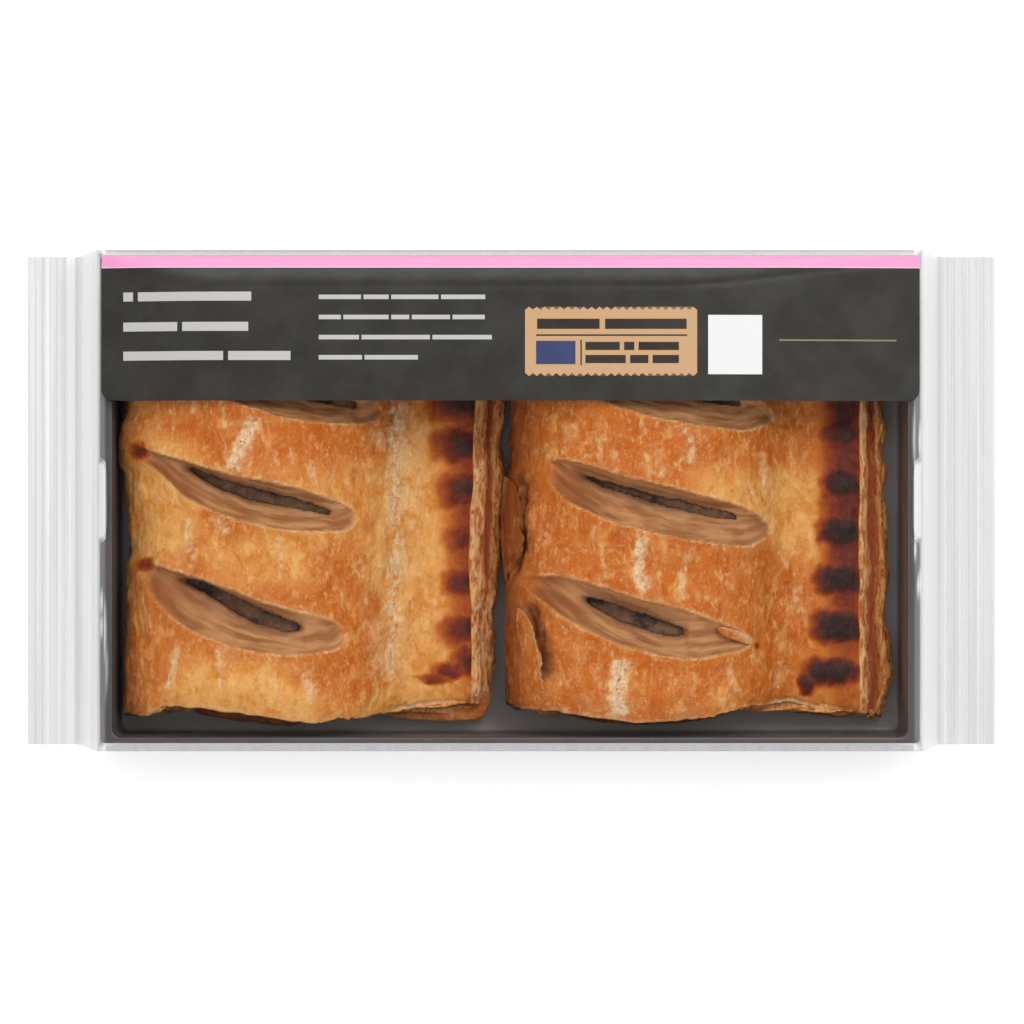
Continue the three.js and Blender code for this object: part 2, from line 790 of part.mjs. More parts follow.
// The label bends with the film. Its two near corners are rounded.
function buildLabel() {
  const { left, right, front, back, thickness, cornerRadius } = LABEL;
  const nearRows = [0, 0.13, 0.4, 1].map((share) => front + share * cornerRadius);
  const folds = FILM.foldsY.filter((y) => y > front + cornerRadius && y < back);
  const rows = [...nearRows, ...folds, back];
  const under = FILM.thickness + GAP;
  const rings = rows.map((y) => {
    const inCorner = Math.max(0, cornerRadius - (y - front));
    const pullIn = cornerRadius - Math.sqrt(cornerRadius ** 2 - inCorner ** 2);
    const line = [left + pullIn, ...FILM.foldsX, right - pullIn];
    const upper = line.map((x) => new THREE.Vector3(x, y, filmTop(x, y) + under + thickness));
    const lower = line.map((x) => new THREE.Vector3(x, y, filmTop(x, y) + under));
    return [...upper, ...lower.reverse()];
  });
  return loft(rings, acrossRoll, true);
}

// ---------- the pack ----------

const pack = new THREE.Group();
pack.add(buildRoll(LEFT_ROLL));
pack.add(buildRoll(RIGHT_ROLL));
addMesh(pack, "tray", buildTray(), trayPlastic);
addMesh(pack, "film_wrap", toGeometry(buildFilm()), clearFilm);
addMesh(pack, "label", buildLabel(), labelPaper);

export default pack;
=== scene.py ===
"""Looks of a sealed tray pack of two slashed puff pastry sausage rolls.

Shapes are worked out in millimetres and turned into metres when a mesh is made. Every piece
lies where its CAD node lies: the rolls, tray, film and label take their places from the
boxes of those nodes.
"""
import math

import bmesh
import bpy
import numpy as np
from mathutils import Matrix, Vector, kdtree


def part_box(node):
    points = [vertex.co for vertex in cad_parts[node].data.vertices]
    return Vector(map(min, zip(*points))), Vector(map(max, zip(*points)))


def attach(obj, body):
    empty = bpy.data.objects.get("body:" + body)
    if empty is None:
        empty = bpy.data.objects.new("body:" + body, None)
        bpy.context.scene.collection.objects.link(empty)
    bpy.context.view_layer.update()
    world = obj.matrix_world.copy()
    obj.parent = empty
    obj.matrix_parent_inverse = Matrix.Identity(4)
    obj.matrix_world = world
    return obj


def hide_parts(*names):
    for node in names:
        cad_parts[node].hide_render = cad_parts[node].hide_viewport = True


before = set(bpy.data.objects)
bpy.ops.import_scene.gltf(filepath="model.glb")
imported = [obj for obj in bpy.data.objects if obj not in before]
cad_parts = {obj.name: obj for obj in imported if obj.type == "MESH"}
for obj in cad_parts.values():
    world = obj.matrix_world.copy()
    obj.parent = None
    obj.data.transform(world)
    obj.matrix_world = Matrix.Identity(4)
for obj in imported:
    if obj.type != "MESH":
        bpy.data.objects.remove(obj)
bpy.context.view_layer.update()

MM = 0.001


def node_box(name):
    """A CAD node's lowest and highest corner, in millimetres."""
    low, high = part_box(name)
    return np.array(low) / MM, np.array(high) / MM


# ---------- number helpers ----------


def unit(value):
    """The value, held between 0 and 1."""
    return np.clip(value, 0, 1)


def smoothstep(low, high, value):
    t = unit((value - low) / (high - low))
    return t * t * (3.0 - 2.0 * t)


def bell(value, width):
    return np.exp(-np.square(value / width))


def mix(a, b, share):
    return a + (b - a) * share


def lattice(ix, iy, seed):
    """A fixed random number from 0 to 1 for each whole-number place.

    Large odd factors and shifts scatter the bits of the place.
    """
    mask = 0xFFFFFFFF
    h = ix.astype(np.int64) * 374761393 + iy.astype(np.int64) * 668265263
    h = (h + seed * 9176413) & mask
    h = ((h ^ (h >> 13)) * 1274126177) & mask
    return ((h ^ (h >> 16)) & 0xFFFF) / 65535.0


def noise(x, y, seed):
    """Smooth noise from 0 to 1, with bumps about one unit across."""
    x, y = np.broadcast_arrays(np.asarray(x, float), np.asarray(y, float))
    ix, iy = np.floor(x), np.floor(y)
    fx, fy = x - ix, y - iy
    ux = fx * fx * fx * (fx * (fx * 6 - 15) + 10)
    uy = fy * fy * fy * (fy * (fy * 6 - 15) + 10)
    low = mix(lattice(ix, iy, seed), lattice(ix + 1, iy, seed), ux)
    high = mix(lattice(ix, iy + 1, seed), lattice(ix + 1, iy + 1, seed), ux)
    return mix(low, high, uy)


def fractal(x, y, seed, octaves):
    """Noise from 0 to 1 with finer and finer bumps on it."""
    total, weight = 0.0, 0.0
    for octave in range(octaves):
        share = 0.5**octave
        total = total + share * noise(x * 2**octave, y * 2**octave, seed + 31 * octave)
        weight += share
    return total / weight


def wander(x, y, seed, octaves):
    """The same noise from -0.5 to 0.5."""
    return fractal(x, y, seed, octaves) - 0.5


def ridges(x, y, seed):
    """Thin lines of 1 on a ground of 0, where the noise crosses its middle."""
    return 1.0 - unit(np.abs(noise(x, y, seed) - 0.5) * 6.0)


# ---------- mesh helpers ----------


def new_piece(name, vertices_mm, faces):
    """An object from vertices in millimetres, with smooth shading."""
    mesh = bpy.data.meshes.new(name)
    mesh.from_pydata((np.asarray(vertices_mm) * MM).tolist(), [], faces)
    mesh.validate()
    mesh.update()
    mesh.shade_smooth()
    piece = bpy.data.objects.new(name, mesh)
    bpy.context.scene.collection.objects.link(piece)
    return piece


def outward(piece):
    """Turns all faces of a closed piece outwards."""
    edit = bmesh.new()
    edit.from_mesh(piece.data)
    bmesh.ops.recalc_face_normals(edit, faces=edit.faces)
    edit.to_mesh(piece.data)
    edit.free()
    return piece


def loft(name, rings):
    """A body from rings of equal length, with its first and last ring filled."""
    rings = np.asarray(rings)
    count, around = rings.shape[:2]
    start = (np.arange(count - 1) * around)[:, None]
    here = np.arange(around)[None, :]
    after = (here + 1) % around
    following = start + around
    quads = np.stack([start + here, start + after, following + after, following + here], -1)
    faces = quads.reshape(-1, 4).tolist()
    faces.append(list(range(around))[::-1])
    faces.append(list(range((count - 1) * around, count * around)))
    return outward(new_piece(name, rings.reshape(-1, 3), faces))


def sheet_grid(name, points, thickness):
    """A closed thin sheet from a grid of points on its top side."""
    below = points.copy()
    below[..., 2] -= thickness
    rings = np.concatenate([points, below[:, ::-1]], axis=1)
    return loft(name, rings)


def places_mm(piece):
    """The places of a piece's vertices, in millimetres."""
    return np.array([vertex.co for vertex in piece.data.vertices]) / MM


def set_attribute(piece, name, values):
    layer = piece.data.attributes.new(name, "FLOAT", "POINT")
    layer.data.foreach_set("value", np.asarray(values, dtype=np.float32).ravel())


def finish_piece(piece, material, slot, *nodes):
    """Gives a piece its material and its body, and hides the CAD nodes that it stands for. The
    slot argument is not used.
    """
    piece.data.materials.append(material)
    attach(piece, "root")
    if nodes:
        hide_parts(*nodes)


# ---------- material helpers ----------


def linear(red, green, blue):
    """A colour as seen on a screen, 0 to 255, as the numbers that Blender works with."""
    values = [c / 255.0 for c in (red, green, blue)]
    return [c / 12.92 if c <= 0.04045 else ((c + 0.055) / 1.055) ** 2.4 for c in values] + [1.0]


class Nodes:
    """Short names for making the nodes of one material."""

    def __init__(self, name):
        self.material = bpy.data.materials.new(name)
        self.material.use_nodes = True
        self.tree = self.material.node_tree
        self.tree.nodes.clear()
        self.output = self.tree.nodes.new("ShaderNodeOutputMaterial")

    def add(self, kind, **settings):
        node = self.tree.nodes.new(kind)
        for key, value in settings.items():
            setattr(node, key, value)
        return node

    def put(self, socket, value):
        """Links a socket to a value's node output, or sets it to a plain value.

        A colour is plain too, as red, green and blue from 0 to 255.
        """
        if isinstance(value, bpy.types.NodeSocket):
            self.tree.links.new(value, socket)
        else:
            socket.default_value = linear(*value) if isinstance(value, tuple) else value

    def fill(self, node, **inputs):
        """Puts values into the inputs of a node. An underscore stands for a space."""
        for name, value in inputs.items():
            self.put(node.inputs[name.replace("_", " ")], value)

    def math(self, operation, a, b=0.0, clamp=False):
        node = self.add("ShaderNodeMath", operation=operation, use_clamp=clamp)
        self.put(node.inputs[0], a)
        self.put(node.inputs[1], b)
        return node.outputs[0]

    def times(self, a, b):
        return self.math("MULTIPLY", a, b)

    def plus(self, a, b):
        return self.math("ADD", a, b)

    def field(self, name):
        return self.add("ShaderNodeAttribute", attribute_name=name).outputs["Fac"]

    def blend(self, share, a, b, kind="MIX"):
        node = self.add("ShaderNodeMix", data_type="RGBA", blend_type=kind)
        self.put(node.inputs["Factor"], share)
        self.put(node.inputs[6], a)
        self.put(node.inputs[7], b)
        return node.outputs[2]

    def step(self, value, low, high, to_low=0.0, to_high=1.0):
        node = self.add("ShaderNodeMapRange", interpolation_type="SMOOTHSTEP")
        self.fill(node, Value=value, From_Min=low, From_Max=high, To_Min=to_low, To_Max=to_high)
        return node.outputs["Result"]

    def tint(self, colour, value, low, high, share, other):
        """Brings in a share of the other colour where the value goes from low to high."""
        return self.blend(self.times(self.step(value, low, high), share), colour, other)

    def place(self, stretch=(1.0, 1.0, 1.0)):
        """Places on the object in millimetres, each axis multiplied by stretch."""
        where = self.add("ShaderNodeTexCoord").outputs["Object"]
        node = self.add("ShaderNodeVectorMath", operation="MULTIPLY")
        self.put(node.inputs[0], where)
        node.inputs[1].default_value = [s / MM for s in stretch]
        return node.outputs[0]

    def axis(self, name):
        """One coordinate on the object, in millimetres."""
        node = self.add("ShaderNodeSeparateXYZ")
        self.put(node.inputs[0], self.place())
        return node.outputs[name]

    def noise_at(self, where, **inputs):
        node = self.add("ShaderNodeTexNoise")
        self.fill(node, Vector=where, **inputs)
        return node.outputs["Fac"]

    def noise(self, size, detail, stretch=(1.0, 1.0, 1.0), roughness=0.55, distortion=0.0):
        """Noise with bumps of the given size in millimetres."""
        return self.noise_at(
            self.place(stretch), Scale=1.0 / size, Detail=detail, Roughness=roughness,
            Distortion=distortion,
        )

    def lanes(self, size, across):
        """Noise drawn out along the walls of a slash, with lines of the given size."""
        where = self.add("ShaderNodeCombineXYZ")
        along = self.times(self.axis("X"), 1.0 / size)
        self.fill(where, X=along, Y=self.times(self.field("lane"), across))
        return self.noise_at(where.outputs[0], Scale=1.0, Detail=2.0, Roughness=0.5)

    def ramp(self, value, *stops):
        """Colours that run into one another, each with the value that it stands at."""
        node = self.add("ShaderNodeValToRGB")
        self.put(node.inputs[0], value)
        elements = node.color_ramp.elements
        while len(elements) < len(stops):
            elements.new(1.0)
        for element, (place, colour) in zip(elements, stops):
            element.position = place
            element.color = linear(*colour)
        return node.outputs["Color"]

    def cell_edges(self, size, width):
        """Thin lines of 1 between cells of the given size, in millimetres."""
        node = self.add("ShaderNodeTexVoronoi", feature="DISTANCE_TO_EDGE")
        self.fill(node, Vector=self.place(), Scale=1.0 / size)
        return self.step(node.outputs["Distance"], width / size, 0.3 * width / size)

    def bump(self, height, distance_mm, strength=1.0):
        node = self.add("ShaderNodeBump")
        self.fill(node, Height=height, Distance=distance_mm * MM, Strength=strength)
        return node.outputs["Normal"]

    def principled(self, colour, roughness, **more):
        node = self.add("ShaderNodeBsdfPrincipled")
        self.fill(node, Base_Color=colour, Roughness=roughness, **more)
        return node.outputs[0]

    def mixed(self, share, a, b):
        """One shader from two."""
        node = self.add("ShaderNodeMixShader")
        for socket, value in zip(node.inputs, (share, a, b)):
            self.put(socket, value)
        return node.outputs[0]

    def shown(self, shader):
        self.tree.links.new(shader, self.output.inputs["Surface"])
        return self.material


# ---------- the crust of a roll ----------

GRID = 0.45  # spacing of the points on the crust
ROLL_LENGTH = 102.4
SEAM_FROM = 72.5  # x where the pressed seam begins
CUT_FROM = 82.6  # x where the cut edge begins
CUT_WIDTH = 7.8
SLASH_DEPTH = 8.6
SHEETS_IN_WALL = 4.3
SKIN = 0.45  # thickness of the browned skin that stands at the rim of a slash
UNDERCUT = 1.1  # how far the underside stands back at both ends
END_ROUND = 7  # the crown sinks towards each cut end over this length
END_SINK = 0.14  # by this share of its height
CORNER_LENGTH = 7.5  # the near corner of the lower sheet is rounded off over this length

# Outline of a roll across its length, as pairs of x and z: from the underside round the
# fold, over the crown and down to the pressed seam.
CROWN_OUTLINE = [
    (6.5, 0), (1.6, 3.2), (0.3, 9.5), (1.6, 18.5), (7.8, 27.2), (19, 32.0), (33, 33.2),
    (46, 31.0), (57, 24.4), (64, 16.2), (70, 12.9), (78, 12.4), (CUT_FROM, 12.1),
]
UNDER_OUTLINE = [(88.6, 0), (60, 0), (33, 0), (6.5, 0)]

# Both rolls are given like this, in millimetres on the roll. x runs across it, y along it.
# y: where the roll begins on the pack. blunt: how round the right ends of the slashes are.
# tone: how deep its colour is. seam_tone, near_tone: the same by the seam and in front; the paler
# seam is painted light.
# side_brown_and_shade: how brown the folded side is, from real browning and from painted shade.
# cut_outline: on from the crown over the cut edge, where the upper and the lower sheet show
# one below the other, to the underside. recess: x, and half width of the gap between them,
# which closes before the y that is its third number. The gap is painted dark as shade.
# edge: y, and how far the upper and the lower sheet stand out at the cut edge.
# corner_round: how far the near corner of the lower sheet is rounded off. corner_reach: how
# far that sheet stands out of the near end there.
# under_reach: x, half width and how far the lowest sheet stands out of the near end.
# end_strip: width of the pale strip of sheets along the near end of the seam.
# fold_in: y, and how far the folded side stands in. near_end: x, and how far the near cut
# end stands back.
# slashes: from one x to another. At even steps between them: y of the far rim, the near rim
# and the deepest line. gap: both ends of the opening, its half width, how far to the right
# it is widest and how dark it is, both deeper and with darker painted shade.
# burns: x, y, half sizes and strength of each raised and burnt block of the seam. blocky:
# from 0, where their dark cores are small, to 1, where they are dark to the edges.
# scorches: the same for browned patches that aren't raised.
# cracks: width, strength, and the places that the crack runs through.
# crease: x and strength of the pale crease above the seam.
# ledges: sheets that stand out of the near end: x and y of the rim, height and looks; shade
# darkens a sheet as painted shade under the roll.
# flaps: torn sheets of crust. rows: y, x of the left and of the right edge, and how far the
# right edge stands up. look: how ragged that edge is, strength and width of the pale line on
# it, and how brown the sheet is, from real browning and from painted shade.
# peels: torn edges in the crust: how far it stands up on the left, how deep and how wide the
# bared sheet on the right is, and the places that the edge runs through.
LEFT = {
    "name": "left",
    "y": -50.4,
    "seed": 3,
    "blunt": 1.0,
    "tone": -0.02,
    "cut_outline": [
        (CUT_FROM, 12.1), (84.9, 11.6), (86.4, 10.5), (86.7, 9.3), (86.3, 8.2), (87.0, 7.2),
        (88.3, 7.3), (89.5, 6.5), (90.2, 5.0), (90.1, 3.0), (89.6, 1.4), (88.6, 0),
    ],
    "recess": (87.0, 0.9, 27),
    "edge": [
        (0, -0.7, -3.4), (12, -0.6, -3.3), (24, -0.7, -3.2), (29, -1.2, -1.9), (36, -1.4, -1.1),
        (46, -1.0, -0.8), (55, -0.3, -0.4), (63, -0.4, -1.3), (70, 0, -0.3), (76, 0.3, 0),
        (102.4, 0.3, 0),
    ],
    "corner_round": 2.8,
    "end_strip": 1.4,
    "corner_reach": 2.6,
    "under_reach": (26.0, 14.0, 1.7),
    "side_brown_and_shade": 0.15,
    "seam_tone": -0.42,
    "blocky": 0.25,
    "near_tone": 0.0,
    "fold_in": [
        (0, 0.9), (15, 0.8), (27, 0.9), (34.5, 1.2), (38.2, 2.6), (45.6, 2.1), (56, 1.5),
        (60.3, 0.1), (64, 0.1), (73, 1.2), (102.4, 1.0),
    ],
    "near_end": [
        (0, 0.8), (5.5, 0.0), (10.8, 2.5), (17.5, 2.2), (27, 1.2), (39, -0.6), (48, -1.6),
        (55, -0.8), (61, 0.5), (69, 1.6), (82, 2.6), (92, 2.6),
    ],
    "slashes": [
        {
            "from": 3.4, "to": 53.2, "gap": (8.0, 44.6, 1.7, 1.7, 1.0),
            "far": [36.0, 35.1, 33.4, 31.4, 29.1, 26.7, 24.9, 23.2, 19.3],
            "near": [34.0, 26.4, 21.1, 18.4, 16.2, 15.0, 14.6, 15.3, 18.4],
            "deep": [35.0, 33.2, 31.6, 29.2, 26.2, 23.3, 21.5, 20.3, 18.9],
        },
        {
            "from": 2.8, "to": 55.7, "gap": (13.6, 52.6, 1.25, 1.0, 0.8),
            "far": [63.6, 61.6, 59.5, 57.6, 55.8, 54.6, 53.1, 50.7, 46.8],
            "near": [61.8, 56.8, 51.2, 48.1, 45.7, 44.2, 43.4, 43.4, 45.5],
            "deep": [62.7, 59.4, 57.6, 54.9, 52.8, 51.4, 50.0, 48.2, 46.2],
        },
    ],
    "burns": [
        (81.5, 93.5, 8.4, 5.4, 0.82), (81.5, 83.4, 8.4, 5.4, 0.82), (80.8, 73.4, 9.8, 5.8, 0.88),
        (81.2, 63.1, 8.6, 5.2, 0.86), (81.6, 52.8, 8.2, 5.4, 0.80), (81.2, 41.4, 6.4, 4.8, 0.66),
        (80.8, 31.0, 6.0, 4.6, 0.70), (81.6, 20.3, 7.6, 5.0, 0.70), (81.6, 12.6, 5.4, 5.0, 0.64),
        (77.4, 10.6, 5.0, 2.6, 0.62), (73.6, 8.6, 5.0, 1.7, 0.50),
    ],
    "scorches": [
        (4.8, 61.9, 3.2, 3.2, 0.56), (5.4, 35.4, 3.6, 2.6, 0.52), (83.2, 52.0, 10.0, 70.0, 0.42),
        (24.0, 70.6, 1.8, 2.2, 0.20), (67.8, 42.6, 1.4, 2.8, 0.12),
        (62.6, 7.8, 2.0, 1.4, 0.14),
    ],
    "cracks": [
        (1.1, 1.2, [(32.8, 70.6), (30.3, 65.1), (27.9, 60.2), (27.0, 56.5)]),
        (0.25, 0.4, [
            (63.6, 100.0), (63.0, 82.0), (63.3, 70.0), (62.7, 60.8), (65.1, 51.7), (64.5, 44.3),
            (63.9, 39.5), (65.1, 33.3), (63.9, 21.1), (63.9, 10.7), (61.2, 8.2),
        ]),
        (0.35, 0.7, [(63.9, 10.7), (66.2, 8.9)]),
        (0.5, 0.6, [(66.9, 69.4), (67.4, 66.4), (68.2, 64.0)]),
        (0.6, 1.0, [(17.4, 47.0), (16.6, 42.0), (17.6, 38.2)]),
        (0.55, 1.0, [(23.6, 49.0), (24.8, 45.0), (26.0, 42.2)]),
        (0.6, 1.0, [(14.4, 17.0), (12.8, 11.0), (11.4, 6.0)]),
        (0.55, 1.0, [(24.0, 16.5), (24.6, 11.0), (24.2, 6.4)]),
        (0.55, 1.0, [(43.2, 12.4), (44.4, 8.0), (44.8, 3.2)]),
        (0.5, 0.9, [(38.4, 43.0), (37.2, 38.0), (39.4, 34.2)]),
    ],
    "crease": (64.0, 0.95),
    "peels": [],
    "flaps": [],
    "ledges": [
        {"xs": [57, 60, 66, 74, 81, 84.4, 86.1, 86.8],
         "ys": [3.6, 0.6, -0.9, -1.3, -1.4, -0.8, 1.6, 4.6],
         "z": 7.2, "shade": 0.45, "pale": 0.8},
        {"xs": [15, 18, 24, 32, 40, 46], "ys": [3.0, 0.4, -0.9, -2.0, -2.4, -0.6],
         "z": 5.4, "shade": 1.0, "pale": 0.0},
    ],
}
RIGHT = {
    "name": "right",
    "y": -49.6,
    "seed": 8,
    "blunt": 0.25,
    "tone": 0.32,
    "cut_outline": [
        (CUT_FROM, 12.1), (84.2, 11.6), (85.2, 10.5), (85.5, 9.0), (85.3, 7.6), (86.2, 6.4),
        (87.5, 6.5), (88.6, 7.2), (89.8, 6.7), (90.6, 5.1), (90.4, 3.0), (89.6, 1.4), (88.6, 0),
    ],
    "recess": (86.6, 1.4, -20),
    "edge": [
        (0, 0.6, -0.6), (4, 0.6, -0.3), (9.6, 0.7, 1.1), (13, 0.5, 0.6), (23, 0.5, -0.9),
        (31, 0.7, -0.2), (38, 0.4, -0.1), (50, 0.6, -0.5), (57, 0.7, -0.6), (61, 0.7, -1.9),
        (68, 0.6, -0.9), (74, 0.8, -1.8), (102.4, 0.8, -1.4),
    ],
    "corner_round": 0.8,
    "end_strip": 1.2,
    "corner_reach": 0.6,
    "under_reach": (25.0, 13.0, 1.3),
    "side_brown_and_shade": 0.9,
    "seam_tone": -0.20,
    "blocky": 0.65,
    "near_tone": 0.25,
    "fold_in": [
        (0, 0.8), (10, 0.3), (25, 0.3), (35, 0.4), (45, 0.2), (50, 1.5), (58, 1.9), (73, 1.9),
        (102.4, 1.2),
    ],
    "near_end": [
        (0, 2.6), (4, 1.0), (12, 0.7), (22, -0.9), (34, -2.1), (46, -0.9), (60, 1.6),
        (67, 2.4), (74, 0.7), (84, -0.4), (92, 0.4),
    ],
    "slashes": [
        {
            "from": 3.5, "to": 57.7, "gap": (15.4, 44.0, 1.7, 1.3, 1.0),
            "far": [31.9, 32.2, 31.3, 29.3, 27.1, 25.4, 23.5, 20.9, 17.3],
            "near": [30.7, 25.4, 20.7, 17.5, 15.1, 13.5, 12.8, 13.9, 15.7],
            "deep": [31.3, 29.6, 27.2, 24.9, 22.4, 20.4, 19.0, 18.0, 16.5],
        },
        {
            "from": 7.9, "to": 62.8, "gap": (14.8, 57.4, 1.0, 1.0, 0.35),
            "far": [58.3, 59.1, 57.3, 55.0, 53.5, 51.8, 49.9, 47.8, 42.8],
            "near": [56.8, 49.8, 46.3, 43.8, 42.0, 40.6, 39.7, 39.1, 42.0],
            "deep": [57.5, 56.0, 53.8, 52.1, 50.0, 48.7, 47.0, 45.6, 42.4],
        },
    ],
    "burns": [
        (79.8, 98.0, 6.4, 4.4, 0.90), (79.8, 87.3, 6.4, 4.6, 0.90), (79.8, 76.2, 6.4, 4.6, 0.90),
        (79.8, 65.3, 6.2, 4.0, 0.80), (80.0, 53.4, 6.6, 4.6, 0.94), (79.6, 42.3, 6.8, 4.9, 1.0),
        (79.2, 31.1, 7.4, 4.9, 1.0), (78.6, 20.0, 7.8, 4.8, 1.0), (77.0, 9.3, 8.4, 4.3, 0.94),
        (71.2, 6.6, 2.8, 3.4, 0.80),
    ],
    "scorches": [
        (80.6, 52.0, 8.8, 70.0, 0.60), (80.2, 74.0, 7.2, 32.0, 0.74), (65.6, 67.0, 2.4, 2.0, 0.25),
        (61.0, 15.6, 5.0, 2.6, 0.16), (5.0, 57.6, 3.4, 2.8, 0.14), (6.0, 31.0, 3.8, 2.8, 0.16),
        (59.4, 15.8, 1.5, 1.1, 0.50), (49.0, 28.6, 1.8, 2.4, 0.15), (36.0, 59.8, 1.6, 2.2, 0.15),
    ],
    "cracks": [
        (0.55, 1.05, [(35.6, 62.6), (36.0, 58.8), (37.3, 54.3)]),
        (0.6, 1.05, [(42.0, 67.0), (43.6, 62.6), (43.6, 57.4)]),
        (0.5, 1.0, [(60.8, 61.9), (60.5, 56.2), (60.2, 49.8)]),
        (0.9, 1.2, [(32.8, 42.5), (31.5, 37.0), (31.2, 33.2), (33.4, 27.5)]),
        (0.55, 1.05, [(43.6, 40.2), (42.3, 34.5), (41.4, 30.7), (42.0, 25.6)]),
        (1.6, 1.3, [(28.3, 14.1), (27.0, 9.0), (26.4, 3.9), (27.0, -1.2)]),
        (0.45, 0.7, [(22.3, 41.5), (23.5, 35.8), (24.5, 30.7)]),
        (0.4, 0.7, [(69.1, 26.8), (71.0, 21.1), (70.4, 17.9)]),
        (0.35, 0.6, [(53.0, 34.4), (56.4, 33.0), (60.4, 33.4)]),
        (0.35, 0.6, [(45.4, 9.0), (44.0, 5.6), (44.8, 3.6)]),
        (0.4, 0.5, [(52.2, 62.6), (52.8, 58.0), (52.2, 54.0)]),
        (0.35, 0.6, [(12.6, 14.6), (13.8, 9.0), (13.0, 4.0)]),
    ],
    "crease": (64.6, 0.25),
    "ledges": [
        {"xs": [7.0, 8.6, 11.0, 13.4, 15.0], "ys": [1.6, -0.6, -1.1, -0.7, 1.2],
         "z": 8.4, "shade": 0.4, "pale": 0.8},
        {"xs": [12, 16, 24, 34, 44, 52, 58], "ys": [1.4, -0.9, -2.5, -3.0, -2.4, -0.6, 1.6],
         "z": 5.4, "shade": 1.0, "pale": 0.0},
        {"xs": [60, 64, 72, 80, 85], "ys": [3.0, 0.8, -0.4, -1.2, 0.6],
         "z": 6.6, "shade": 0.9, "pale": 0.2},
    ],
    "flaps": [
        {"look": (1.7, 0.7, 0.6, 0.1), "rows": [
            (24.6, 3.4, 3.8, 0.1), (22.0, 3.2, 6.3, 0.9), (18.0, 3.6, 7.6, 1.2),
            (14.6, 4.8, 8.6, 1.2), (10.0, 6.8, 8.9, 0.8), (5.8, 9.0, 9.6, 0.1),
        ]},
        {"look": (1.7, 0.2, 0.6, 0.75), "rows": [
            (55.4, 0.5, 0.9, 0.1), (53.4, 0.0, 2.9, 0.6), (49.6, -0.2, 4.3, 0.9),
            (45.4, -0.4, 3.5, 0.7), (41.0, -0.4, 5.0, 1.1), (37.6, -0.2, 4.5, 0.9),
            (34.0, 0.2, 2.3, 0.5), (31.0, 0.5, 0.9, 0.1),
        ]},
        {"look": (0.4, 0.9, 2.5, 0.2), "rows": [
            (20.2, 49.8, 51.6, 0.1), (19.2, 50.2, 55.0, 0.6), (18.0, 51.8, 57.6, 0.9),
            (17.0, 54.6, 58.2, 0.7), (16.2, 57.0, 58.0, 0.1),
        ]},
    ],
    "peels": [
        (0.0, 1.3, 4.4, [(3.6, 25.6), (5.4, 22.4), (6.8, 18.0), (7.8, 13.4), (8.6, 6.0)]),
        (0.0, 1.2, 1.5, [
            (0.9, 56.0), (2.6, 53.0), (3.6, 48.0), (3.8, 42.0), (3.2, 36.0), (1.2, 31.0),
        ]),
    ],
}


def repeat_last_slash(roll, dx, dy, gap):
    """Adds a cut like the last one, moved, with an opening of its own."""
    last = roll["slashes"][-1]
    moved = {key: round(last[key] + dx, 1) for key in ("from", "to")}
    for key in ("far", "near", "deep"):
        moved[key] = [round(y + dy, 1) for y in last[key]]
    roll["slashes"].append({**moved, "gap": gap})


# Most of the third cut lies under the label, so it has the shape of the second.
repeat_last_slash(LEFT, 5.8, 25.0, (17.0, 58.4, 1.3, 1.0, 0.7))
repeat_last_slash(RIGHT, 0.6, 26.8, (15.4, 58.0, 1.2, 1.0, 0.6))


def spline(points, spacing):
    """Points along a smooth curve through the given ones, about spacing apart."""
    points = np.array(points, dtype=float)
    ends = [2 * points[0] - points[1], *points, 2 * points[-1] - points[-2]]
    fine = []
    for before, start, end, after in zip(ends, ends[1:], ends[2:], ends[3:]):
        t = np.linspace(0, 1, 60, endpoint=False)[:, None]
        bend = 2 * before - 5 * start + 4 * end - after
        twist = 3 * start - before - 3 * end + after
        fine.append(0.5 * (2 * start + (end - before) * t + bend * t**2 + twist * t**3))
    return evenly(np.vstack([*fine, points[-1:]]), spacing)


def evenly(points, spacing):
    """The same path with its points about spacing apart."""
    points = np.asarray(points, dtype=float)
    lengths = np.concatenate([[0], np.cumsum(np.linalg.norm(np.diff(points, axis=0), axis=1))])
    count = max(2, round(lengths[-1] / spacing) + 1)
    at = np.linspace(0, lengths[-1], count)
    return np.stack([np.interp(at, lengths, points[:, k]) for k in range(points.shape[1])], -1)


def crust_outline(roll):
    """The outline, its normals, and how far along it each point is."""
    crown, cut = spline(CROWN_OUTLINE, GRID), spline(roll["cut_outline"], 0.28)
    path = np.vstack([crown, cut[1:], evenly(UNDER_OUTLINE, 4.0)[1:-1]])
    before, after = np.roll(path, 1, axis=0), np.roll(path, -1, axis=0)
    tangent = after - before
    normal = np.stack([-tangent[:, 1], tangent[:, 0]], -1)
    normal /= np.linalg.norm(normal, axis=1)[:, None]
    lengths = np.concatenate([[0], np.cumsum(np.linalg.norm(np.diff(path, axis=0), axis=1))])
    return path, normal, lengths, len(crown), len(cut) - 1


def smooth_through(xs, values, spacing, at):
    """Values at places on a smooth curve through points."""
    fine = spline(np.stack([xs, values], -1), spacing)
    return np.interp(at, fine[:, 0], fine[:, 1])


def smooth_list(values, t):
    """The value at share t of the way through evenly spaced values, without corners."""
    last = len(values) - 1
    return smooth_through(np.arange(last + 1), values, 0.05, unit(t) * last)


def from_rows(rows, place, column=1):
    """A smooth value between the rows before and after a place. A row starts with its place."""
    table = np.array(rows, dtype=float)
    upper = np.clip(np.searchsorted(table[:, 0], place), 1, len(table) - 1)
    share = smoothstep(table[upper - 1, 0], table[upper, 0], place)
    return mix(table[upper - 1, column], table[upper, column], share)


class Fields:
    """Values at every point of the crust, all zero at first."""

    def __init__(self, shape):
        self.shape = shape
        self.values = {}

    def __getitem__(self, name):
        return self.values.setdefault(name, np.zeros(self.shape))

    def __setitem__(self, name, value):
        self.values[name] = value

    def at_least(self, name, value):
        self[name] = np.maximum(self[name], value)


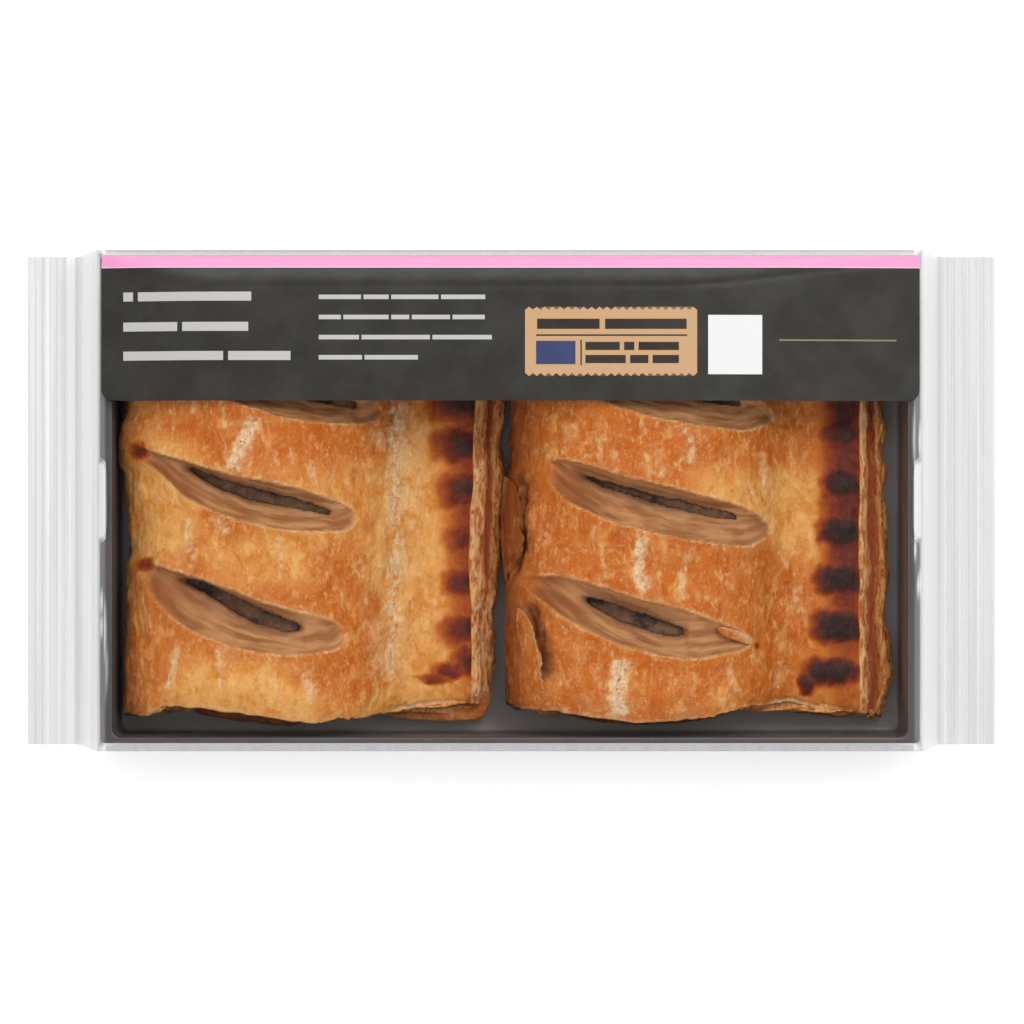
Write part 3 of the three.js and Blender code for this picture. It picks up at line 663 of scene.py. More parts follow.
def add_slashes(roll, x, y, f):
    """The knife cuts: a steep far wall, an open gap and a wide near wall of sheets."""
    for number, slash in enumerate(roll["slashes"]):
        seed = roll["seed"] * 10 + number
        start, end = slash["from"], slash["to"]
        t = unit((x - start) / (end - start))
        live = (x > start) & (x < end)
        far, near = smooth_list(slash["far"], t), smooth_list(slash["near"], t)
        # The last of the given steps can be rounded off to an arc.
        steps = len(slash["far"]) - 1
        last_half = 0.5 * (slash["far"][-2] - slash["near"][-2])
        rounded = last_half * np.sqrt(1 - unit(t * steps - (steps - 1)) ** 2)
        middle = 0.5 * (far + near)
        half = mix(0.5 * (far - near), rounded, roll["blunt"] * (t > (steps - 1) / steps))
        far = middle + half + 0.5 * wander(x / 3.0, 0.5, seed, 3)
        near = middle - half + 0.5 * wander(x / 3.0, 4.5, seed, 3)
        deep = smooth_list(slash["deep"], t) + 0.5 * wander(x / 4.0, 8.5, seed, 2)
        gap_start, gap_end, gap_half, skew, dark = slash["gap"]
        g = unit((x - gap_start) / (gap_end - gap_start)) ** skew
        opening = unit(4 * g * (1 - g)) ** 0.7
        gap_half = gap_half * opening * (0.75 + 0.5 * fractal(x / 6, 2.5, seed, 2)) + 0.1
        torn = 0.6 * opening * wander(x / 1.6, 6.5, seed, 3)
        gap_far = np.minimum(deep + 0.8 * gap_half + torn, far - 0.25)
        gap_near = np.maximum(deep - 1.1 * gap_half + torn, near + 0.25)

        # w and v go from 0 at the near and the far rim to 1 at the gap.
        open_here = np.sin(math.pi * t) ** 0.55
        w = (y - near) / np.maximum(gap_near - near, 0.3)
        v = (far - y) / np.maximum(far - gap_far, 0.3)
        from_rim = np.minimum(y - near, far - y)
        inside = live & (from_rim > 0)
        down = unit(w)
        stepped = SHEETS_IN_WALL * down + 0.9 * wander(x / 9, 1.2 * down, seed + 2, 3)
        whole = np.floor(stepped)
        ledge = (whole + smoothstep(0.5, 1.0, stepped - whole)) / SHEETS_IN_WALL
        near_wall = np.sin(0.5 * math.pi * mix(down, unit(ledge), 0.75))
        skin = SKIN * open_here * smoothstep(-0.2, 0.6, from_rim)
        wall_depth = SLASH_DEPTH * open_here * (0.55 + 0.45 * smoothstep(0.0, 0.4, opening))
        near_depth = skin + 0.50 * wall_depth * near_wall
        far_depth = skin + 0.50 * wall_depth * np.sin(0.5 * math.pi * unit(v))
        in_gap = smoothstep(0.94, 1.08, w) * smoothstep(0.94, 1.08, v)
        in_gap = in_gap * smoothstep(0.15, 0.5, opening)
        # Further right the crust over the meat is thinner, so the walls stay shallower.
        side_depth = np.where(w < 1, near_depth, far_depth)
        side_depth = np.minimum(side_depth, SLASH_DEPTH * (0.60 - 0.34 * smoothstep(46, 56, x)))
        depth = mix(side_depth, SLASH_DEPTH * (0.6 + 0.4 * dark), in_gap)
        # sunk is painted shade: it deepens down the walls towards the gap and is darkest in the
        # gap.
        shaded = 0.35 + 0.65 * smoothstep(0.0, 0.5, opening)
        near_shade = 0.62 * shaded * down**2
        far_shade = shaded * (0.12 + 0.5 * unit(v))
        sunk = mix(np.where(w < 1, near_shade, far_shade), 0.5 + 0.5 * dark, in_gap)
        lines = 0.5 + 0.5 * np.cos(2 * math.pi * stepped)
        widest = max(a - b for a, b in zip(slash["far"], slash["near"]))
        lane = stepped + 2.6 * np.where(w < 1, 0, 1 - unit(v))
        new = {
            "depth": np.maximum(f["depth"], depth),
            "wall": smoothstep(-0.1, 0.45, from_rim) * smoothstep(0.0, 0.10, t)
            * smoothstep(0, 0.03, 1 - t),
            "sunk": sunk * open_here,
            "smoked": (1 - smoothstep(0.08, 0.42, t)) * (0.5 + 0.5 * smoothstep(1.0, 0.7, w)),
            "sheets": np.where(w < 1, lines**3, 0.3),
            "lane": lane * unit((far - near) / widest) + 20 * number,
        }
        for name, value in new.items():
            f[name] = np.where(inside, value, f[name])

        off = np.where(w <= 0, near - y, y - far)
        beside = live & ~inside & (off < 12)
        height = np.where(w <= 0, 1.0, 0.6) * np.sin(math.pi * t) ** 0.8
        f.at_least("lips", np.where(beside, height * bell(off, 3.2), np.where(inside, height, 0)))
        uneven = 0.35 + 0.65 * fractal(x / 2.2, y / 1.6, seed + 5, 3)
        rim = bell(off, np.where(w <= 0, 0.5, 0.9)) * smoothstep(0.0, 0.15, t) * uneven
        f.at_least("pale", np.where(beside, rim, 0))
        rim_inside = inside & (from_rim < 0.5)
        f.at_least("pale", np.where(rim_inside, 0.8 * uneven * smoothstep(0.05, 0.2, t), 0))
        past_end = np.hypot((x - end) / 1.6, (y - 0.5 * (far + near)) / 1.4)
        f.at_least("pale", 0.35 * (1 - smoothstep(0.4, 1.4, past_end)))


def add_seam(roll, x, y, f):
    """The raised, burnt blocks of the pressed seam, and other browned patches."""
    seed = roll["seed"]
    wobble_x = 2.0 * wander(x / 2.6, y / 2.6, seed + 40, 3)
    wobble_y = 2.0 * wander(x / 2.6, y / 2.6, seed + 41, 3)
    in_seam = smoothstep(66, 70, x)
    for cx, cy, rx, ry, strength in roll["burns"]:
        dx, dy = np.abs(x + wobble_x - cx) / rx, np.abs(y + wobble_y - cy) / ry
        r = (dx**2.6 + dy**2.6) ** (1 / 2.6)
        f.at_least("blocks", in_seam * (1 - smoothstep(0.2, 0.85, r)))
        shade = mix(unit(1.06 - 0.86 * r), 1 - smoothstep(0.3, 1.2, r), roll["blocky"])
        f.at_least("burn", strength * shade)
    for cx, cy, rx, ry, strength in roll["scorches"]:
        r = np.hypot((x + 0.6 * wobble_x - cx) / rx, (y + 0.6 * wobble_y - cy) / ry)
        f.at_least("burn", strength * (1 - smoothstep(0.1, 1.1, r)))


def distance_to_path(x, y, path):
    """Distance from each point to a path, and how far along it, 0 to 1, the nearest place is."""
    best = np.full(x.shape, 1e9)
    share = np.zeros(x.shape)
    spans = len(path) - 1
    for number, ((ax, ay), (bx, by)) in enumerate(zip(path, path[1:])):
        ux, uy = bx - ax, by - ay
        t = unit(((x - ax) * ux + (y - ay) * uy) / (ux * ux + uy * uy))
        distance = np.hypot(x - ax - t * ux, y - ay - t * uy)
        closer = distance < best
        share = np.where(closer, (number + t) / spans, share)
        best = np.where(closer, distance, best)
    return best, share


def add_cracks(roll, x, y, f):
    """Cracks with pale, wrinkled edges, and the pale crease above the seam."""
    seed = roll["seed"]
    wx = x + 1.0 * wander(x / 1.8, y / 1.8, seed + 60, 3)
    wy = y + 1.0 * wander(x / 1.8, y / 1.8, seed + 61, 3)
    rough = fractal(x / 1.2, y / 1.2, seed + 62, 3)

    def crack(width, power, path, pitted=0.0):
        distance, share = distance_to_path(wx, wy, path)
        fade = smoothstep(0, 0.12, share) * smoothstep(0, 0.12, 1 - share)
        if len(path) > 6:
            fade = 1.0  # the long line down the whole roll doesn't fade at its ends
        f.at_least("groove", power * fade * bell(distance, 0.32))
        paler = power * (0.95 + 0.25 * smoothstep(0.5, 1.0, width)) * fade
        paler = paler * bell(distance, 1.2 * width + 0.6)
        f.at_least("pale", paler * (0.45 + 0.55 * smoothstep(0.30, 0.70, rough)))
        f.at_least("swell", power * fade * bell(distance, 2.2 * width + 0.4))
        f.at_least("pits", pitted * fade * bell(distance, 1.1 * width))

    for width, power, path in roll["cracks"]:
        crack(width, power, path, smoothstep(0.4, 0.9, width))
    rng = np.random.default_rng(seed * 7 + 1)
    for _ in range(60):
        cx, cy = rng.uniform(6, 70), rng.uniform(2, ROLL_LENGTH - 2)
        length, lean = rng.uniform(1.5, 5.0), rng.normal(-0.1, 0.25)
        bend, rise = rng.normal(0, 0.5), lean * length
        path = [(cx - rise, cy - length), (cx + bend, cy), (cx + rise, cy + length)]
        crack(rng.uniform(0.12, 0.4), rng.uniform(0.35, 0.85), path)

    centre, strength = roll["crease"]
    line = centre + 2.2 * wander(y / 17, 0.5, seed + 50, 3)
    ends = smoothstep(3, 12, y)
    band = bell(x - line, 3.0) * strength * ends
    f.at_least("pale", band * (0.32 + 0.72 * smoothstep(0.38, 0.72, rough)))
    beside = 0.75 * strength * bell(x - line, 7.5) * ends
    f.at_least("pale", beside * smoothstep(0.30, 0.65, fractal(x / 3.0, y / 5.0, seed + 66, 3)))
    f.at_least("swell", 1.4 * band * smoothstep(0.4, 0.7, noise(x / 1.8, y / 2.4, seed + 64)))
    f.at_least("pits", 0.8 * strength * bell(x - line, 1.5) * ends)


def add_peels(roll, x, y, f):
    """Torn edges of skin, with a darker sheet showing on the right of each: a browner sheet,
    darkened as painted shade beside the torn edge.
    """
    seed = roll["seed"]
    wx = x + 0.8 * wander(x / 1.6, y / 1.6, seed + 65, 3)
    for up, down, width, path in roll["peels"]:
        distance, share = distance_to_path(wx, y, path)
        xs, ys = np.array(path).T
        order = np.argsort(ys)
        side = wx - np.interp(y, ys[order], xs[order])
        fade = smoothstep(0, 0.15, share) * smoothstep(0, 0.15, 1 - share)
        left = smoothstep(0.25, -0.15, side)
        f["peel"] = f["peel"] + fade * up * left * bell(distance, 4.0)
        f["peel"] = f["peel"] - fade * down * (1 - left) * bell(distance, width)
        f.at_least("bared", fade * (1 - left) * smoothstep(1.0, 0.6, distance / width))


def add_relief(roll, s, y, f):
    """Low relief of the baked crust: swells, wrinkles, blisters and peeled patches."""
    seed = roll["seed"]
    swell = 1.2 * wander(s / 17, y / 15, seed + 70, 2)
    warp = 2.2 * wander(s / 7, y / 9, seed + 71, 2)
    wrinkle = ridges((s + warp) / 2.8, y / 6.0, seed + 72) ** 3
    fine = ridges((s + 1.5 * warp) / 1.5, y / 2.8, seed + 73) ** 3
    blister = smoothstep(0.55, 0.85, noise(s / 3.4, y / 4.0, seed + 74))
    peeled = smoothstep(0.58, 0.60, fractal(s / 6.0, y / 8.0, seed + 75, 4))
    height = swell + 0.20 * wrinkle + 0.10 * fine + 0.36 * blister - 0.18 * peeled
    f["relief"] = height + 0.40 * wander(s / 1.7, y / 2.0, seed + 76, 3)
    f["streaks"] = np.maximum(0.6 * wrinkle, 0.45 * fine)


def near_wave(roll, x):
    """How far the near cut end stands back."""
    return from_rows(roll["near_end"], x)


def far_wave(roll, x):
    """How far the far cut end stands out."""
    seed = roll["seed"]
    return 0.8 * np.sin(1.3 * seed - 0.085 * x) + 0.4 * np.sin(0.27 * x + 2.3 * seed)


def end_layers(roll, x, z, far_end):
    """How far the ragged layers of a cut end stand out from its even wave."""
    seed = roll["seed"] + (90 if far_end else 80)
    return 0.9 * wander(x / 3.4, z / 0.9, seed, 2) + 0.6 * (noise(x / 7, z / 3, seed + 1) - 0.5)


def crust_mesh(roll, origin):
    """The crust as a closed mesh before the room for the meat is cut out."""
    path, normal, lengths, n_crown, n_cut = crust_outline(roll)
    n_rows = round(ROLL_LENGTH / GRID) + 1
    share = np.linspace(0, 1, n_rows)[:, None]
    ox = np.broadcast_to(path[:, 0], (n_rows, len(path)))
    oz = np.broadcast_to(path[:, 1], (n_rows, len(path)))
    s = np.broadcast_to(lengths, (n_rows, len(path)))
    row_y = np.broadcast_to(share * ROLL_LENGTH, ox.shape)
    index = np.broadcast_to(np.arange(len(path)), ox.shape)
    seed = roll["seed"]

    in_cut = ((index >= n_crown - 3) & (index < n_crown + n_cut)).astype(float)
    above = np.where(ox > 80, smoothstep(6.6, 7.6, oz), smoothstep(5.5, 7.2, oz))
    lower_sheet = smoothstep(0.2, 1.5, oz) * (1 - above)
    under_x, under_half, under_reach = roll["under_reach"]
    reach = 0.8 + roll["corner_reach"] * smoothstep(66, 72, ox)
    reach = reach + under_reach * (1 - smoothstep(0.6, 1.0, np.abs(ox - under_x) / under_half))
    undercut = UNDERCUT * (oz < 1)
    near = near_wave(roll, ox) - lower_sheet * reach + undercut
    near = near + 0.7 * end_layers(roll, ox, oz, False)
    far = far_wave(roll, ox) - undercut - 0.7 * end_layers(roll, ox, oz, True)
    py = row_y + near * (1 - share) + far * share

    outwards = unit((ox - CUT_FROM) / CUT_WIDTH)
    upper_shift, lower_shift = (from_rows(roll["edge"], row_y, column) for column in (1, 2))
    sideways = smoothstep(66, 80, ox) * mix(upper_shift, lower_shift, outwards)

    f = Fields(ox.shape)
    add_slashes(roll, ox, py, f)
    add_seam(roll, ox + sideways, py, f)
    add_cracks(roll, ox, py, f)
    add_peels(roll, ox, py, f)
    add_relief(roll, s, py, f)

    on_crown = smoothstep(0, 14, index) * (1 - smoothstep(n_crown - 8, n_crown, index))
    browned = smoothstep(0, 14, index) * (index < n_crown + 1)
    upper_side = smoothstep(5, 14, oz) * (index < n_crown + 2)
    wall = (f["wall"] > 0.5).astype(float)
    flat_seam = 1 - 0.55 * smoothstep(68, 74, ox)
    height = f["relief"] * flat_seam * np.maximum(on_crown, 0.25 * (oz > 0.5)) * (1 - 0.6 * wall)
    height = height + upper_side * (1 - wall) * (0.22 * f["swell"] - 0.5 * f["groove"])
    seam_sink = 0.5 * smoothstep(SEAM_FROM, SEAM_FROM + 2, ox)
    height = height + on_crown * (0.9 * f["blocks"] - seam_sink)
    height = height + upper_side * (f["lips"] + f["peel"] - f["depth"])

    # The cut edge: torn sheets one under another.
    tilt = s + 1.6 * wander(row_y / 13, 0.5, seed + 77, 2)
    end_ragged = 1.0 * wander(ox / 3.0, 0.5, seed + 85, 3)
    end_strip = smoothstep(60, 68, ox) * (oz > 9) * (row_y + end_ragged < roll["end_strip"])
    end_strip = end_strip * (index < n_crown)
    height = height - 0.45 * end_strip
    sheet_lines = ridges(tilt / 1.7, row_y / 9, seed + 78) ** 2
    holes = smoothstep(0.66, 0.80, fractal(tilt / 0.9, row_y / 1.6, seed + 79, 3))
    ragged = 1.9 * wander(row_y / 6.5, tilt / 5.0, seed + 80, 4)
    height = height + in_cut * (0.35 * sheet_lines - 0.55 * holes + ragged)

    from_end = np.minimum(row_y, ROLL_LENGTH - row_y)
    rounding = 1 - END_SINK * (1 - unit(from_end / END_ROUND)) ** 2
    px = ox + normal[:, 0] * height
    pz = np.where(oz > 0.01, oz * rounding + normal[:, 1] * height, 0.0)
    pz = np.maximum(pz, 0.0)
    px = px + from_rows(roll["fold_in"], row_y) * smoothstep(16, 4, ox) * smoothstep(1, 9, oz)
    corner = unit(1 - row_y / CORNER_LENGTH) ** 2
    px = px + sideways - roll["corner_round"] * corner * smoothstep(84, 89, ox) * (oz < 8)
    body = np.stack([px, py, pz], -1)

    # The cut ends close over the middle of the section in rings of pastry layers.
    middle_x, middle_z = 33.0, 15.0
    caps = []
    for row, inward in ((body[0], 1.0), (body[-1], -1.0)):
        rings = []
        level = row[:, 1].mean()
        for part in (0.985, 0.96, 0.92, 0.87, 0.80, 0.70, 0.55, 0.35, 0.15):
            shelf = 0.35 * math.sin(part * 95.0)
            shelf = shelf + 0.9 * wander(lengths / 3.0, part * 24, seed + 81, 3)
            sunk = inward * (0.5 - shelf * smoothstep(0.2, 0.6, part))
            rings.append(np.stack([
                mix(middle_x, row[:, 0], part), mix(level, row[:, 1], part**3) + sunk,
                mix(middle_z, row[:, 2], part),
            ], -1))
        caps.append(np.stack(rings))
    grid = np.concatenate([caps[0][::-1], body, caps[1]])
    crust = loft("pastry_" + roll["name"], grid + origin)

    at_end = bell(from_end, 0.8) * upper_side
    # The tone is deeper towards the far end as painted shade by the label, and seam_tone makes the
    # seam paler as painted light.
    tone = fractal(s / 26, py / 24, seed + 90, 2) + roll["tone"] + 0.28 * smoothstep(52, 70, py)
    tone = tone - 0.12 + roll["seam_tone"] * smoothstep(58, 68, ox) + 0.06 * smoothstep(52, 70, py)
    tone = tone + roll["near_tone"] * smoothstep(26, 12, py)
    # Low on the crust the sheet below gets the under field: real browning and painted shade under
    # the overhang, also on the cut ends.
    low_part = 1 - smoothstep(5.0, 8.5, oz)
    # The gap field paints shade: dark in the gap between the sheets, along the crust's rim and in
    # the holes of the cut edge.
    recess_x, recess_half, closes = roll["recess"]
    apart = smoothstep(closes - 5, closes + 6, row_y)
    wobble = 0.5 * wander(row_y / 4, 0.5, seed + 84, 3)
    recess = apart * in_cut * bell(ox + wobble - recess_x, recess_half) * (oz > 5)
    crust_rim = in_cut * bell(ox + wobble - CUT_FROM, 0.35) * (oz > 9)
    # Browner low on the folded side: real browning and painted shade.
    side = roll["side_brown_and_shade"] * smoothstep(31, 15, oz) * (ox < 30)
    # Each field with its value on the cut ends.
    fields = {
        name: (f[name] * upper_side, 0) for name in ("wall", "sunk", "bared", "pits", "smoked")
    }
    fields.update({
        "burn": (f["burn"] * browned, 0),
        "sheets": (np.where(in_cut > 0, mix(sheet_lines, 0.0, holes), f["sheets"]), 0.5),
        "pale": (unit(f["pale"] * upper_side + 0.6 * at_end + end_strip), 0.3),
        "streaks": (f["streaks"], 0),
        "cut": (in_cut, 1),
        "gap": (np.maximum(np.maximum(recess, 0.7 * crust_rim), in_cut * holes * 0.8), 0),
        "lane": (f["lane"], 0),
        "under": (low_part * (ox < 82), 0.3),
        "lower": (apart * in_cut * (ox > recess_x) * (oz < 8), 0.6),
        "side": (np.maximum(side, 0), 0),
        "tone": (tone, 0.5),
    })

    def over_grid(values, cap_value):
        ends = np.full(caps[0].shape[:2], cap_value, dtype=float)
        return np.concatenate([ends, values, ends]).ravel()

    return crust, {name: over_grid(*pair) for name, pair in fields.items()}


def carry_fields(piece, source_places, fields):
    """Gives each vertex the values of the nearest vertex of the uncut crust."""
    tree = kdtree.KDTree(len(source_places))
    for number, place in enumerate(source_places):
        tree.insert(place, number)
    tree.balance()
    nearest = np.array([tree.find(vertex.co)[1] for vertex in piece.data.vertices])
    for name, values in fields.items():
        set_attribute(piece, name, values[nearest])


def subtract(piece, tool):
    """Cuts the tool out of a piece, and removes the tool."""
    cut = piece.modifiers.new("cut", "BOOLEAN")
    cut.operation = "DIFFERENCE"
    cut.solver = "MANIFOLD"
    cut.object = tool
    bpy.context.view_layer.update()
    depsgraph = bpy.context.evaluated_depsgraph_get()
    mesh = bpy.data.meshes.new_from_object(piece.evaluated_get(depsgraph))
    piece.modifiers.clear()
    mesh.materials.clear()
    old = piece.data
    piece.data = mesh
    mesh.name = old.name
    bpy.data.meshes.remove(old)
    bpy.data.objects.remove(tool)
    mesh.shade_smooth()


# ---------- the meat ----------

FILLING = {"x": 33.0, "z": 16.2, "half_width": 25.0, "half_height": 11.2, "fullness": 2.4}
FILLING_RECESS = 1.0  # how far the meat stands back from both cut ends
CRUST_FIELDS = [
    "burn", "wall", "sunk", "bared", "sheets", "pale", "pits", "streaks", "cut",
    "smoked", "gap", "lane", "under", "lower", "side", "tone",
]


def filling_rings(roll, grow, relief):
    """Rings along the meat. grow widens it, and relief is the height of its crumb."""
    around, rows = 150, 180
    seed = roll["seed"] + 100
    angle = np.linspace(0, 2 * math.pi, around, endpoint=False)
    c, s = np.cos(angle), np.sin(angle)
    power = 2 / FILLING["fullness"]
    ex = np.sign(c) * np.abs(c) ** power
    ez = np.sign(s) * np.abs(s) ** power
    rings = []
    for along in np.linspace(0, 1, rows):
        y = along * ROLL_LENGTH
        lump = relief * wander(angle * 7 / math.pi * 2, y / 2.4, seed, 4)
        if grow:
            end_scale = 1.0
        else:
            from_end = min(along, 1 - along) * ROLL_LENGTH
            end_scale = 0.93 + 0.07 * min(1.0, from_end / 1.2) ** 0.5
        x = FILLING["x"] + (FILLING["half_width"] * end_scale + grow + lump) * ex
        z = FILLING["z"] + (FILLING["half_height"] * end_scale + grow + lump) * ez
        reach = -4.0 if grow else FILLING_RECESS
        near = near_wave(roll, x) + reach
        far = far_wave(roll, x) - reach
        rings.append(np.stack([x, y + near * (1 - along) + far * along, z], -1))
    return np.array(rings)


def dress_sheet(piece, material, **values):
    """Gives a torn sheet the fields of the crust, 0 where no value is given."""
    zero = np.zeros(len(piece.data.vertices))
    for name in CRUST_FIELDS:
        set_attribute(piece, name, zero + values.get(name, 0.0))
    finish_piece(piece, material, "pastry")


def build_ledge(roll, number, origin, material):
    """A sheet of pastry that stands out from under the near end."""
    ledge = roll["ledges"][number]
    seed = roll["seed"] + 200 + number
    xs = np.arange(ledge["xs"][0], ledge["xs"][-1], 0.4)
    outer = smooth_through(ledge["xs"], ledge["ys"], 0.3, xs)
    outer = outer + 0.7 * wander(xs / 2.2, 0.5, seed, 4)
    rows = np.linspace(0, 1, 16)[:, None]
    y = mix(outer[None, :], np.maximum(6.0, outer[None, :] + 2), rows**1.4)
    x = np.broadcast_to(xs, y.shape)
    z = ledge["z"] - 0.9 * bell(y - outer, 0.35) + 0.9 * wander(x / 1.6, y / 1.2, seed + 1, 4)
    piece = sheet_grid(f"flake_{roll['name']}_{number}", np.stack([x, y, z], -1) + origin, 1.3)
    px, py, _ = (places_mm(piece) - origin).T
    from_rim = py - np.interp(px, xs, outer)
    # shade darkens the sheet, most further in under the roll: painted shade.
    dress_sheet(
        piece, material,
        pale=ledge["pale"] * bell(from_rim - 0.3, 0.35),
        under=ledge["shade"],
        side=ledge["shade"] * 0.5 * smoothstep(0.8, 2.4, from_rim),
        tone=0.45 + 0.3 * fractal(px / 3, py / 1.5, seed + 2, 3),
    )


def build_flap(roll, number, origin, material):
    """A torn sheet of crust whose pale right edge stands up."""
    flap = roll["flaps"][number]
    ragged, pale, pale_width, brown = flap["look"]
    seed = roll["seed"] + 300 + number
    fine = spline(flap["rows"][::-1], 0.35)
    y = fine[:, :1]
    across = np.linspace(0, 1, 26)[None, :]
    right_edge = fine[:, 2:3] + ragged * wander(y / 1.7, 0.5, seed, 4)
    x = mix(fine[:, 1:2], right_edge, across)
    side = spline(CROWN_OUTLINE, GRID)
    side = side[np.argmin(side[:, 0]):]
    surface = np.interp(x - 0.6 * from_rows(roll["fold_in"], y), side[:, 0], side[:, 1])
    z = surface + 0.5 + fine[:, 3:4] * across**3 + 0.5 * wander(x / 1.4, y / 2.0, seed + 1, 3)
    grid = np.stack([x, np.broadcast_to(y, x.shape), z], -1)
    piece = sheet_grid(f"flap_{roll['name']}_{number}", grid + origin, 0.5)
    px, py, _ = (places_mm(piece) - origin).T
    dress_sheet(
        piece, material,
        pale=pale * bell(px - np.interp(py, fine[:, 0], right_edge[:, 0]), pale_width),
        side=brown,
        streaks=ridges(px / 1.1, py / 7, seed + 3),
        tone=0.45 + 0.3 * fractal(px / 3, py / 4, seed + 2, 3),
    )


def build_roll(roll, crust_material, meat_material):
    """The crust with the room for the meat cut out, its torn sheets and the meat."""
    low, _ = node_box("pastry_" + roll["name"])
    leftmost = min(x for x, _ in CROWN_OUTLINE)
    origin = np.array([low[0] - leftmost, roll["y"], low[2]])

    crust, fields = crust_mesh(roll, origin)
    places = [vertex.co.copy() for vertex in crust.data.vertices]
    room = loft("room", filling_rings(roll, 0.25, 0.0) + origin)
    subtract(crust, room)
    carry_fields(crust, places, fields)
    finish_piece(crust, crust_material, "pastry", "pastry_" + roll["name"])
    for number in range(len(roll["ledges"])):
        build_ledge(roll, number, origin, crust_material)
    for number in range(len(roll["flaps"])):
        build_flap(roll, number, origin, crust_material)

    meat = loft("filling_" + roll["name"], filling_rings(roll, 0, 1.1) + origin)
    finish_piece(meat, meat_material, "filling", "filling_" + roll["name"])


